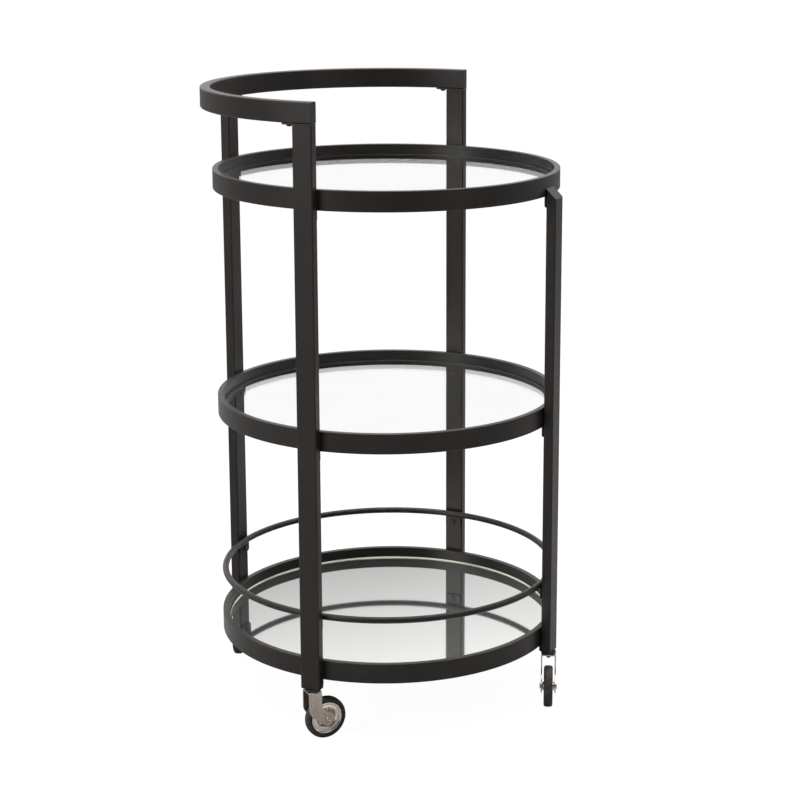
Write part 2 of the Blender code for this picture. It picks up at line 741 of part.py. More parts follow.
def make_fork(place, material, parts, cutters):
    """Makes a caster's pressed fork, modelled with its trail towards +X."""
    thick = FORK_OUTER_WIDTH + 2 * FORK_SHEET
    fork = move(prism(f"{place}_fork", fork_side_outline(), thick, parts), upright_outline())
    reach = 2 * (CASTER_TRAIL + FORK_STRIP)
    face_on = Matrix.Rotation(math.radians(90.0), 4, "Z") @ upright_outline()
    strip = move(prism(f"{place}_fork_strip", fork_front_outline(), reach, cutters), face_on)
    fork = combine(fork, strip, "INTERSECT")
    ends = ((0, 0, FORK_TOP - 3 * FORK_SHEET), (0, 0, FORK_TOP + FORK_SHEET))
    radius = KING_PIN_RADIUS + RUNNING_GAP
    pin_hole = rod(f"{place}_fork_pin_hole", *ends, radius, PIN_STEPS, cutters)
    move(pin_hole, about_z(-TRAIL_ANGLES[place]))
    half = FORK_OUTER_WIDTH
    ends = ((CASTER_TRAIL, -half, AXLE_HEIGHT), (CASTER_TRAIL, half, AXLE_HEIGHT))
    radius = AXLE_RADIUS + RUNNING_GAP
    axle_hole = rod(f"{place}_fork_axle_hole", *ends, radius, PIN_STEPS, cutters)
    holes = join(f"{place}_fork_holes", [pin_hole, axle_hole])
    fork = combine(fork, holes, "DIFFERENCE")
    return finish(fork, material, caster_matrix(place), origin=post_centre(place))


def caster_matrix(place):
    """Gives the matrix that takes a caster trailing towards +X to its place at rest."""
    return Matrix.Translation(post_centre(place)) @ about_z(TRAIL_ANGLES[place])


def axle_matrix(place):
    """Gives the matrix that takes a piece turned about Z onto a caster's axle."""
    lay = Matrix.Rotation(math.radians(90.0), 4, "X")
    return caster_matrix(place) @ Matrix.Translation((CASTER_TRAIL, 0.0, AXLE_HEIGHT)) @ lay


def wheel_centre(place):
    """Gives the place of a wheel's centre on the cart."""
    return axle_matrix(place) @ Vector((0.0, 0.0, 0.0))


def mirrored(half_profile):
    """Completes a profile given from the top down to the middle with its mirror image."""
    return [*half_profile, *[(radius, -height) for radius, height in reversed(half_profile)]]


def make_axle(place, material, parts):
    """Makes the rivet through the fork's legs, with a dimple in each head."""
    seat = FORK_OUTER_WIDTH / 2 + CONTACT_GAP
    face = seat + AXLE_HEAD_THICKNESS
    dimple = AXLE_HEAD_RADIUS * 0.45
    half = [
        (0.0, face - AXLE_HEAD_THICKNESS * 0.8),
        (dimple, face - AXLE_HEAD_THICKNESS * 0.8),
        (dimple, face),
        (AXLE_HEAD_RADIUS * 0.85, face),
        (AXLE_HEAD_RADIUS, seat),
        (AXLE_RADIUS, seat),
    ]
    axle = turned(f"{place}_axle", mirrored(half), PIN_STEPS, parts)
    return finish(axle, material, axle_matrix(place), origin=wheel_centre(place))


def make_hub(place, material, parts):
    """Makes the wheel's hub: two dished discs with a raised bead and a bearing boss."""
    boss = FORK_INNER_HALF - CONTACT_GAP
    bore = AXLE_RADIUS + RUNNING_GAP
    boss_radius = bore + HUB_BOSS_WALL
    half = [
        (bore, boss),
        (boss_radius, boss),
        (boss_radius + HUB_BOSS_FLARE, TYRE_WIDTH / 2),
        *[(HUB_RADIUS * out, TYRE_WIDTH * across) for out, across in HUB_FACE],
    ]
    profile = [*mirrored(half), half[0]]
    hub = turned(f"{place}_wheel_hub", profile, WHEEL_STEPS, parts)
    return finish(hub, material, axle_matrix(place), origin=wheel_centre(place))


def make_tyre(place, material, parts):
    """Makes the rubber tyre, with rounded shoulders, round the hub."""
    bore = HUB_RADIUS + CONTACT_GAP
    half_width = TYRE_WIDTH / 2
    half = [
        (bore, half_width * TYRE_BEAD_SHARE),
        (bore + TYRE_SHOULDER * 0.5, half_width),
        (WHEEL_RADIUS - TYRE_SHOULDER, half_width),
        (WHEEL_RADIUS - TYRE_SHOULDER * 0.3, half_width - TYRE_SHOULDER * 0.3),
        (WHEEL_RADIUS, half_width - TYRE_SHOULDER),
    ]
    profile = [*mirrored(half), half[0]]
    tyre = turned(f"{place}_tyre", profile, WHEEL_STEPS, parts)
    return finish(tyre, material, axle_matrix(place), origin=wheel_centre(place))


def make_caster(place, materials, parts, cutters):
    """Makes the five pieces of one caster and the socket that holds it."""
    make_socket(place, materials["black_plastic"], parts, cutters)
    make_king_pin(place, materials["nickel_steel"], parts)
    make_fork(place, materials["nickel_steel"], parts, cutters)
    make_axle(place, materials["nickel_steel"], parts)
    make_hub(place, materials["nickel_steel"], parts)
    make_tyre(place, materials["black_rubber"], parts)


def main():
    """Builds the whole cart."""
    clear_scene()
    parts = make_collection("bar_cart")
    cutters = make_collection("cutters", hidden=True)
    materials = make_materials()
    paint = materials["bronze_paint"]
    for index in range(len(SHELF_NAMES)):
        make_shelf_ring(index, paint, parts, cutters)
    make_pane(0, "bottom_mirror", materials["mirror_glass"], parts)
    make_pane(1, "middle_glass", materials["clear_glass"], parts)
    make_pane(2, "top_glass", materials["clear_glass"], parts)
    make_rail(paint, parts, cutters)
    make_short_post(paint, parts, cutters)
    make_handle(paint, parts, cutters)
    for place in TONGUE_SIDES:
        make_long_post(place, paint, parts, cutters)
        make_tongue(place, paint, parts, cutters)
    make_frame_screws(materials["black_screw"], parts)
    for place in POST_ANGLES:
        make_caster(place, materials, parts, cutters)


if __name__ == "__main__":
    main()
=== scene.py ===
"""Fine meshes, finishes and studio for a round three-tier bar cart on four swivel casters.

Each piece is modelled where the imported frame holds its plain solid, rides on the same body
and stands in for that solid. Lengths are in metres, with +Z up and the floor at z = 0.
"""

import json
import logging
import math
from contextlib import contextmanager
from dataclasses import dataclass
from enum import Enum
from typing import Callable, Iterator, NamedTuple, Sequence

import bmesh
import bpy
from mathutils import Matrix, Vector

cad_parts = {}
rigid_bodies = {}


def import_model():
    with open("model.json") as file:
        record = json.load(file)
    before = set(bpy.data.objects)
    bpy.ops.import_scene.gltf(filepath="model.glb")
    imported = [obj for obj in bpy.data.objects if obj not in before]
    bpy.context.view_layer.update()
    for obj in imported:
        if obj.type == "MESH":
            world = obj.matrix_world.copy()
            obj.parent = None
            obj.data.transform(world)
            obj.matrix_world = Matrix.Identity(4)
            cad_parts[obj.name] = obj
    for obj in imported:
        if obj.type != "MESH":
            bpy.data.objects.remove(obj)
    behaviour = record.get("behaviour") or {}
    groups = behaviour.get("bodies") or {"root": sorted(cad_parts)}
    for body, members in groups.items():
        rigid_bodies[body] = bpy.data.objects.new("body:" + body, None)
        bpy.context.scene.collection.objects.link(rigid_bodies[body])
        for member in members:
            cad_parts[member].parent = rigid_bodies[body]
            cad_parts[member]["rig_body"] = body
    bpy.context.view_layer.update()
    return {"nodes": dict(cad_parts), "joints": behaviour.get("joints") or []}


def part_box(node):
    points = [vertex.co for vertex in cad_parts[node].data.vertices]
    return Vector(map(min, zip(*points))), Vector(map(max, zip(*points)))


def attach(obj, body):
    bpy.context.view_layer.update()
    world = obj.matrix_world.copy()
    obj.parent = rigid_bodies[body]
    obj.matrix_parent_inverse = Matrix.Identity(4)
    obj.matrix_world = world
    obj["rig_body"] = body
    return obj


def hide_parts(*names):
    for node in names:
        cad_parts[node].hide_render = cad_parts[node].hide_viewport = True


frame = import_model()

MM = 0.001
PIECE_SUFFIX = "_finished"
EDGE_SLACK = 0.05 * MM
QUARTER_X = Matrix.Rotation(math.radians(90.0), 4, "X")
QUARTER_Y = Matrix.Rotation(math.radians(90.0), 4, "Y")
QUARTER_Z = Matrix.Rotation(math.radians(90.0), 4, "Z")

Colour = tuple[float, float, float]
Flat = tuple[float, float]
Span = tuple[float, float]
Triple = tuple[float, float, float]
Outline = Sequence[tuple[float, ...]]
Test = Callable[[Vector, Vector], bool]
Socket = bpy.types.NodeSocket

WHOLE: Span = (0.0, 1.0)

log = logging.getLogger("bar_cart")


class Slot(Enum):
    """The record's material slots."""

    PAINT = "bronze_paint"
    GLASS = "clear_glass"
    MIRROR = "mirror_glass"
    SCREW = "black_screw"
    NICKEL = "nickel_steel"
    PLASTIC = "black_plastic"
    RUBBER = "black_rubber"


class Place(Enum):
    """The four posts, by the side of the cart that each stands on."""

    RIGHT = "right"
    BACK = "back"
    LEFT = "left"
    FRONT = "front"

    def node(self, part: str) -> str:
        """Names this post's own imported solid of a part."""
        return f"{self.value}_{part}"

    def piece(self, part: str) -> str:
        """Names this post's own finished piece of a part."""
        return self.node(part) + PIECE_SUFFIX

    def turn(self) -> Matrix:
        """Gives the turn about the upright axis that brings the right post to this place.

        Returns:
            The turn.
        """
        low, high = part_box(self.node("post"))
        middle = (low + high) / 2
        return Matrix.Rotation(math.atan2(middle.y, middle.x), 4, "Z")


LONG_POSTS = (Place.RIGHT, Place.BACK, Place.LEFT)


class Shelf(Enum):
    """The three shelves, from the floor up."""

    BOTTOM = "bottom"
    MIDDLE = "middle"
    TOP = "top"


# ------------------------------------------------------------------ outlines


class Corner(NamedTuple):
    """One corner of an outline and the radius that rounds it."""

    x: float
    y: float
    radius: float = 0.0


def arc_points(centre: Flat, radius: float, sweep: Span, steps: int) -> list[Flat]:
    """Lists points along an arc.

    Args:
        centre: The arc's centre.
        radius: Its radius.
        sweep: The angles in degrees where it starts and ends.
        steps: How many straight steps it has.

    Returns:
        The points, with both ends.
    """
    start, end = sweep
    angles = [math.radians(start + (end - start) * step / steps) for step in range(steps + 1)]
    return [(centre[0] + radius * math.cos(a), centre[1] + radius * math.sin(a)) for a in angles]


def sweep_points(start: Flat, control: Flat, end: Flat, steps: int) -> list[Flat]:
    """Lists points along a smooth bend that leaves start towards control and reaches end.

    Args:
        start: The bend's first point.
        control: Where its two tangents meet.
        end: Its last point.
        steps: How many straight steps it has.

    Returns:
        The points, with both ends.
    """
    points = []
    for step in range(steps + 1):
        t = step / steps
        weights = ((1 - t) ** 2, 2 * t * (1 - t), t**2)
        x, y = (sum(w * p[i] for w, p in zip(weights, (start, control, end))) for i in (0, 1))
        points.append((x, y))
    return points


def round_corner(before: Vector, corner: Corner, after: Vector, steps: int) -> list[Flat]:
    """Replaces one corner of an outline by an arc.

    Args:
        before: The outline's point before the corner.
        corner: The corner and its radius.
        after: The outline's point after the corner.
        steps: How many straight steps the arc has.

    Returns:
        The arc's points, or the corner itself where it stays sharp.
    """
    middle = Vector((corner.x, corner.y))
    first = (before - middle).normalized()
    second = (after - middle).normalized()
    half_angle = first.angle(second) / 2
    if corner.radius <= 0.0 or half_angle > math.radians(89.0):
        return [(corner.x, corner.y)]
    centre = middle + (first + second).normalized() * (corner.radius / math.sin(half_angle))
    reach = corner.radius / math.tan(half_angle)
    spoke = middle + first * reach - centre
    sweep = spoke.angle_signed(middle + second * reach - centre)
    spokes = [Matrix.Rotation(-sweep * step / steps, 2) @ spoke for step in range(steps + 1)]
    return [(centre.x + turned.x, centre.y + turned.y) for turned in spokes]


def rounded(outline: Outline, closed: bool = True, steps: int = 4) -> list[Flat]:
    """Rounds the corners of an outline.

    Args:
        outline: Its corners in order: x, y and the radius of those that are round.
        closed: Whether the last corner runs on to the first.
        steps: How many straight steps each round corner has.

    Returns:
        The outline's points.
    """
    corners = [Corner(*item) for item in outline]
    places = [Vector((c.x, c.y)) for c in corners]
    points: list[Flat] = []
    for index, corner in enumerate(corners):
        if not closed and index in (0, len(corners) - 1):
            points.append((corner.x, corner.y))
        else:
            after = places[(index + 1) % len(corners)]
            points.extend(round_corner(places[index - 1], corner, after, steps))
    return points


def mirrored(half: Outline) -> Outline:
    """Completes a half profile, given down to the middle, with its mirror image."""
    return [*half, *[(x, -y, *radius) for x, y, *radius in reversed(half)]]


# ------------------------------------------------------------------ the bench


class Workpiece:
    """A mesh on the bench, shaped with edit-mode tools and then set in its place."""

    MERGE_DISTANCE = 2e-6
    ROD_SIDES = 24
    FLAT_WEIGHT = 80
    HARD_EDGE = 32.0

    def __init__(self, name: str) -> None:
        """Takes the primitive that was just added and names it."""
        self.obj = bpy.context.active_object
        self.obj.name = name

    @staticmethod
    def clear_bench() -> None:
        """Deselects every object."""
        if bpy.context.mode != "OBJECT":
            bpy.ops.object.mode_set(mode="OBJECT")
        bpy.ops.object.select_all(action="DESELECT")

    @classmethod
    def block(cls, name: str, low: Sequence[float], high: Sequence[float]) -> "Workpiece":
        """Starts from a cube stretched between two corners.

        Args:
            name: The piece's name.
            low: Its lowest corner.
            high: Its highest corner.

        Returns:
            The new piece.
        """
        cls.clear_bench()
        start, end = Vector(low), Vector(high)
        bpy.ops.mesh.primitive_cube_add(size=1.0, location=(start + end) / 2)
        piece = cls(name)
        piece.obj.scale = end - start
        piece.settle()
        return piece

    @classmethod
    def disc(cls, name: str, radius: float, heights: Span, steps: int) -> "Workpiece":
        """Starts from an upright cylinder on the Z axis.

        Args:
            name: The piece's name.
            radius: Its radius.
            heights: Its lower and upper height.
            steps: How many sides it has.

        Returns:
            The new piece.
        """
        cls.clear_bench()
        low, high = heights
        bpy.ops.mesh.primitive_cylinder_add(
            vertices=steps, radius=radius, depth=high - low, location=(0, 0, (low + high) / 2)
        )
        piece = cls(name)
        piece.settle()
        return piece

    @classmethod
    def hoop(cls, name: str, radius: float, rod: float, height: float, steps: int) -> "Workpiece":
        """Starts from a torus about the Z axis.

        Args:
            name: The piece's name.
            radius: The radius of the rod's centre line.
            rod: The rod's own radius.
            height: The height of its centre line.
            steps: How many steps it has round the axis.

        Returns:
            The new piece.
        """
        cls.clear_bench()
        bpy.ops.mesh.primitive_torus_add(
            major_segments=steps,
            minor_segments=cls.ROD_SIDES,
            major_radius=radius,
            minor_radius=rod,
            location=(0, 0, height),
        )
        piece = cls(name)
        piece.settle()
        return piece

    @classmethod
    def line(cls, name: str, points: Sequence[Vector], closed: bool = True) -> "Workpiece":
        """Draws a line by extruding one vertex from point to point.

        Args:
            name: The piece's name.
            points: The points to pass through.
            closed: Whether the line returns to its first point.

        Returns:
            The new piece, an open wire or a closed loop.
        """
        cls.clear_bench()
        bpy.ops.mesh.primitive_plane_add(size=1.0, location=(0, 0, 0))
        piece = cls(name)
        route = [*points, points[0]] if closed else list(points)
        with piece.edit_mode(whole=True):
            bpy.ops.mesh.merge(type="CENTER")
            bpy.ops.transform.translate(value=route[0])
            for here, there in zip(route, route[1:]):
                cls.extrude(there - here)
            bpy.ops.mesh.select_all(action="SELECT")
            bpy.ops.mesh.remove_doubles(threshold=cls.MERGE_DISTANCE)
        return piece

    @classmethod
    def turned(
        cls, name: str, profile: Sequence[Flat], steps: int, closed: bool = True
    ) -> "Workpiece":
        """Spins a profile of (radius, height) points about the Z axis.

        Args:
            name: The piece's name.
            profile: The profile's points.
            steps: How many steps the full turn has.
            closed: Whether the profile is a loop, or else runs from pole to pole.

        Returns:
            The new solid.
        """
        piece = cls.line(name, [Vector((r, 0.0, z)) for r, z in profile], closed)
        with piece.edit_mode(whole=True):
            bpy.ops.mesh.spin(steps=steps, angle=math.tau, center=(0, 0, 0), axis=(0, 0, 1))
        piece.true_up()
        return piece

    @classmethod
    def plate(cls, name: str, outline: Sequence[Flat], thickness: float) -> "Workpiece":
        """Fills a flat outline and extrudes it evenly about z = 0.

        Args:
            name: The piece's name.
            outline: The outline's (x, y) points.
            thickness: The plate's thickness.

        Returns:
            The new solid.
        """
        piece = cls.line(name, [Vector((x, y, -thickness / 2)) for x, y in outline])
        with piece.edit_mode(whole=True):
            bpy.ops.mesh.edge_face_add()
            cls.extrude((0, 0, thickness))
        piece.true_up()
        return piece

    @staticmethod
    def extrude(step: Sequence[float]) -> None:
        """Extrudes what is selected in edit mode by a step."""
        bpy.ops.mesh.extrude_region_move(TRANSFORM_OT_translate={"value": step})

    def take(self) -> None:
        """Makes the piece the only one selected, and the active one."""
        self.clear_bench()
        self.obj.select_set(True)
        bpy.context.view_layer.objects.active = self.obj

    @contextmanager
    def edit_mode(self, kind: str = "VERT", whole: bool = False) -> Iterator[None]:
        """Opens the piece in edit mode for the with block.

        Args:
            kind: What is selected there: VERT, EDGE or FACE.
            whole: Whether everything is selected first.

        Returns:
            The context.
        """
        self.take()
        bpy.ops.object.mode_set(mode="EDIT")
        bpy.ops.mesh.select_mode(type=kind)
        if whole:
            bpy.ops.mesh.select_all(action="SELECT")
        yield
        bpy.ops.object.mode_set(mode="OBJECT")

    def pick_faces(self, test: Callable[[Vector], bool]) -> None:
        """Selects faces in edit mode by their normal.

        Args:
            test: Takes a face's normal.
        """
        mesh = bmesh.from_edit_mesh(self.obj.data)
        for face in mesh.faces:
            face.select_set(test(face.normal))
        bmesh.update_edit_mesh(self.obj.data)

    def bevel(self, test: Test, width: float, steps: int) -> None:
        """Rounds the edges that pass a test.

        Args:
            test: Takes an edge's two ends.
            width: The bevel's width.
            steps: How many steps it has.
        """
        with self.edit_mode("EDGE"):
            mesh = bmesh.from_edit_mesh(self.obj.data)
            for edge in mesh.edges:
                edge.select_set(False)
            for edge in mesh.edges:
                if test(edge.verts[0].co, edge.verts[1].co):
                    edge.select_set(True)
            bmesh.update_edit_mesh(self.obj.data)
            bpy.ops.mesh.bevel(offset=width, segments=steps, affect="EDGES", clamp_overlap=True)

    def true_up(self) -> None:
        """Merges doubled vertices and points every face outwards."""
        with self.edit_mode(whole=True):
            bpy.ops.mesh.remove_doubles(threshold=self.MERGE_DISTANCE)
            bpy.ops.mesh.normals_make_consistent(inside=False)

    def settle(self, matrix: Matrix = Matrix.Identity(4)) -> None:
        """Moves the piece through a matrix and puts its place into its mesh.

        Args:
            matrix: The move, from where it was modelled.
        """
        self.take()
        bpy.context.view_layer.update()
        self.obj.matrix_world = matrix @ self.obj.matrix_world
        bpy.ops.object.transform_apply(location=True, rotation=True, scale=True)

    def apply(self, kind: str, **settings: object) -> None:
        """Adds a modifier and applies it at once.

        Args:
            kind: The modifier's type.
            **settings: Its properties.
        """
        modifier = self.obj.modifiers.new(kind.lower(), kind)
        for name, value in settings.items():
            setattr(modifier, name, value)
        self.take()
        bpy.ops.object.modifier_apply(modifier=modifier.name)

    def combine(self, other: "Workpiece", operation: str) -> None:
        """Joins, cuts or intersects this piece with another, which is used up.

        Args:
            other: The other solid.
            operation: UNION, DIFFERENCE or INTERSECT.
        """
        self.apply("BOOLEAN", operation=operation, solver="EXACT", object=other.obj)
        other.discard()

    def soften(self, width: float, steps: int = 2, angle: float = 40.0) -> None:
        """Rounds every edge sharper than an angle.

        Args:
            width: The bevel's width.
            steps: How many steps it has.
            angle: The least angle in degrees that counts as an edge.
        """
        limit = math.radians(angle)
        self.apply("BEVEL", width=width, segments=steps, limit_method="ANGLE", angle_limit=limit)

    def copy(self, name: str) -> "Workpiece":
        """Copies the piece with a mesh of its own.

        Args:
            name: The copy's name.

        Returns:
            The copy.
        """
        self.take()
        bpy.ops.object.duplicate(linked=False)
        return Workpiece(name)

    def discard(self) -> None:
        """Removes a tool or pattern piece once it has been used."""
        bpy.data.objects.remove(self.obj, do_unlink=True)

    def fit(self, node: str, slot: Slot, *finishes: bpy.types.Material) -> None:
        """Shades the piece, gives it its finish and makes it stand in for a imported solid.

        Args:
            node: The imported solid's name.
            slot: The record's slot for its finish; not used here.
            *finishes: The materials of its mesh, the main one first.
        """
        self.take()
        bpy.ops.object.shade_smooth_by_angle(angle=math.radians(self.HARD_EDGE))
        self.apply("WEIGHTED_NORMAL", weight=self.FLAT_WEIGHT, keep_sharp=True)
        self.obj.data.materials.clear()
        for finish in finishes:
            self.obj.data.materials.append(finish)
        body = frame["nodes"][node]["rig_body"]
        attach(self.obj, body)
        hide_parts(node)
        log.info("%s on %s: %d faces", self.obj.name, body, len(self.obj.data.polygons))


def upright(a: Vector, b: Vector) -> bool:
    """Tells whether an edge stands upright."""
    return abs(a.x - b.x) < 1e-6 and abs(a.y - b.y) < 1e-6


def level_test(height: float) -> Test:
    """Gives a test for the edges that lie at a height."""
    return lambda a, b: max(abs(a.z - height), abs(b.z - height)) < EDGE_SLACK


# ------------------------------------------------------------------ shader tools


class NodeBoard:
    """A node tree with short ways to add and join its nodes."""

    def __init__(self, tree: bpy.types.NodeTree) -> None:
        """Starts by emptying a tree."""
        self.tree = tree
        self.tree.nodes.clear()

    def add(self, kind: str, settings: dict | None = None, **inputs: object) -> bpy.types.Node:
        """Adds a node, sets it up, and sets or joins its inputs.

        Args:
            kind: The node's type name.
            settings: Values for the node's own properties.
            **inputs: Socket values or source sockets, by socket name with _ for a space.

        Returns:
            The new node.
        """
        node = self.tree.nodes.new(kind)
        for name, value in (settings or {}).items():
            setattr(node, name, value)
        for name, value in inputs.items():
            self.feed(node.inputs[name.replace("_", " ")], value)
        return node

    def chain(self, kind: str, *values: object) -> bpy.types.Node:
        """Adds a node and fills its first inputs in order.

        Args:
            kind: The node's type name.
            *values: Socket values or source sockets.

        Returns:
            The new node.
        """
        node = self.tree.nodes.new(kind)
        for socket, value in zip(node.inputs, values):
            self.feed(socket, value)
        return node

    def feed(self, socket: Socket, value: object) -> None:
        """Joins a socket to another, or sets its plain value.

        Args:
            socket: The input socket.
            value: A source socket or a plain value.
        """
        if isinstance(value, Socket):
            self.tree.links.new(value, socket)
        elif isinstance(value, tuple) and len(value) == 3 and socket.type == "RGBA":
            socket.default_value = (*value, 1.0)
        else:
            socket.default_value = value

    def math(self, operation: str, *values: object) -> Socket:
        """Works out one operation on numbers.

        Args:
            operation: The Math node's operation.
            *values: Its numbers or source sockets.

        Returns:
            The result's socket.
        """
        node = self.chain("ShaderNodeMath", *values)
        node.operation = operation
        return node.outputs[0]

    def dot(self, first: object, second: object) -> Socket:
        """Works out the dot product of two vectors.

        Args:
            first: A vector or its source socket.
            second: Another.

        Returns:
            The product's socket.
        """
        node = self.chain("ShaderNodeVectorMath", first, second)
        node.operation = "DOT_PRODUCT"
        return node.outputs["Value"]

    def remap(self, value: object, source: Span, target: Span = WHOLE) -> Socket:
        """Carries a value from one span to another, clamped at both ends."""
        return self.chain("ShaderNodeMapRange", value, *source, *target).outputs[0]

    def blend(self, share: object, first: object, second: object) -> Socket:
        """Mixes two colours by a share.

        Args:
            share: The second colour's share.
            first: The first colour.
            second: The second colour.

        Returns:
            The mixed colour's socket.
        """
        node = self.add("ShaderNodeMix", {"data_type": "RGBA"})
        for index, value in ((0, share), (6, first), (7, second)):
            self.feed(node.inputs[index], value)
        return node.outputs[2]

    def where(self) -> Socket:
        """Gives the Object coordinates."""
        return self.add("ShaderNodeTexCoord").outputs["Object"]

    def noise(self, vector: object, scale: object, detail: float, rough: float) -> Socket:
        """Adds a noise pattern and gives its value's socket."""
        inputs = {"Vector": vector, "Scale": scale, "Detail": detail, "Roughness": rough}
        return self.add("ShaderNodeTexNoise", **inputs).outputs[0]


class EffectGroup:
    """A shader node group with named sockets that several finishes share."""

    NAME = "effect"
    INPUTS: dict[str, float] = {}
    OUTPUTS: tuple[str, ...] = ()

    def __init__(self) -> None:
        """Builds the group once."""
        self.tree = bpy.data.node_groups.new(self.NAME, "ShaderNodeTree")
        self.board = NodeBoard(self.tree)
        new_socket = self.tree.interface.new_socket
        for name, value in self.INPUTS.items():
            socket = new_socket(name, in_out="INPUT", socket_type="NodeSocketFloat")
            socket.default_value = value
        for name in self.OUTPUTS:
            new_socket(name, in_out="OUTPUT", socket_type="NodeSocketFloat")
        self.source = self.tree.nodes.new("NodeGroupInput")
        self.result = self.tree.nodes.new("NodeGroupOutput")
        self.draw(self.board)

    def draw(self, b: NodeBoard) -> None:
        """Fills the group's tree."""

    def given(self, name: str) -> Socket:
        """Gives the socket of one of the group's inputs."""
        return self.source.outputs[name]

    def yield_up(self, name: str, value: Socket) -> None:
        """Sends a value out of the group."""
        self.board.feed(self.result.inputs[name], value)

    def place(self, board: NodeBoard, **values: float) -> bpy.types.Node:
        """Puts the group into a material with its own values."""
        return board.add("ShaderNodeGroup", {"node_tree": self.tree}, **values)


class Mottle(EffectGroup):
    """Soft cloudy variation over a surface."""

    NAME = "mottle"
    INPUTS = {"Scale": 20.0, "Contrast": 1.0}
    OUTPUTS = ("Cloud", "Speck")
    SPREAD = 2.2
    SPECK_SCALE = 34.0

    def draw(self, b: NodeBoard) -> None:
        """Makes a broad cloud and a fine speck from two noises.

        Args:
            b: The group's board.
        """
        where = b.where()
        broad = b.noise(where, self.given("Scale"), 3.0, 0.55)
        contrast = b.math("MULTIPLY", self.given("Contrast"), self.SPREAD)
        spread = b.math("MULTIPLY", b.math("SUBTRACT", broad, 0.5), contrast)
        self.yield_up("Cloud", b.remap(spread, (-0.5, 0.5)))
        fine = b.noise(where, b.math("MULTIPLY", self.given("Scale"), self.SPECK_SCALE), 2.0, 0.6)
        self.yield_up("Speck", b.remap(fine, (0.35, 0.65)))


class EdgeRubAndHighlight(EffectGroup):
    """Where corners are rubbed by handling, and where a painted edge highlight lies along them."""

    NAME = "edge_rub"
    INPUTS = {"Width": 0.8 * MM, "Breakup": 0.5}
    OUTPUTS = ("Mask",)
    PATCH_SCALE = 160.0

    def draw(self, b: NodeBoard) -> None:
        """Compares the rounded normal with the real one and breaks the mask up.

        Args:
            b: The group's board.
        """
        rounded_normal = b.add("ShaderNodeBevel", {"samples": 4}, Radius=self.given("Width"))
        real = b.add("ShaderNodeNewGeometry").outputs["Normal"]
        agreement = b.dot(rounded_normal.outputs[0], real)
        bend = b.remap(b.math("SUBTRACT", 1.0, agreement), (0.01, 0.16))
        patches = b.noise(b.where(), self.PATCH_SCALE, 4.0, 0.65)
        broken = b.math("MULTIPLY", bend, b.remap(patches, (0.38, 0.62)))
        whole = b.math("MULTIPLY", bend, b.math("SUBTRACT", 1.0, self.given("Breakup")))
        partly = b.math("MULTIPLY", broken, self.given("Breakup"))
        self.yield_up("Mask", b.math("ADD", whole, partly))


class CoatTexture(EffectGroup):
    """The fine dimpled skin of a sprayed or moulded surface."""

    NAME = "coat_texture"
    INPUTS = {"Scale": 900.0, "Grain": 0.5}
    OUTPUTS = ("Height",)

    def draw(self, b: NodeBoard) -> None:
        """Adds a fine grain to the flow marks of the coat.

        Args:
            b: The group's board.
        """
        where = b.where()
        flow = b.noise(where, self.given("Scale"), 2.0, 0.5)
        grain = b.noise(where, b.math("MULTIPLY", self.given("Scale"), 4.0), 2.0, 0.5)
        share = b.math("MULTIPLY", grain, self.given("Grain"))
        self.yield_up("Height", b.math("ADD", flow, share))


class SettledDust(EffectGroup):
    """Thin dust that lies on faces that look up."""

    NAME = "settled_dust"
    INPUTS = {"Amount": 0.2, "Scale": 60.0}
    OUTPUTS = ("Mask",)

    def draw(self, b: NodeBoard) -> None:
        """Takes the upward share of the normal and breaks it up with noise.

        Args:
            b: The group's board.
        """
        normal = b.add("ShaderNodeNewGeometry").outputs["Normal"]
        split = b.add("ShaderNodeSeparateXYZ", Vector=normal)
        upward = b.remap(split.outputs["Z"], (0.35, 1.0))
        cloud = b.noise(b.where(), self.given("Scale"), 6.0, 0.7)
        patchy = b.math("MULTIPLY", upward, b.remap(cloud, (0.3, 0.7), (0.35, 1.0)))
        self.yield_up("Mask", b.math("MULTIPLY", patchy, self.given("Amount")))


class Effects(NamedTuple):
    """The effect groups that the finishes share."""

    mottle: Mottle
    edge_rub: EdgeRubAndHighlight
    coat: CoatTexture
    dust: SettledDust


# ------------------------------------------------------------------ finishes


@dataclass(frozen=True)
class RubAndHighlight:
    """How a finish is rubbed at its corners, with a painted highlight there, and how much smoother
    it gets there.
    """

    colour: Colour
    width: float
    breakup: float
    share: float
    polish: float = 0.0


@dataclass(frozen=True)
class Skin:
    """The fine relief of a finish."""

    scale: float
    grain: float
    strength: float
    depth: float


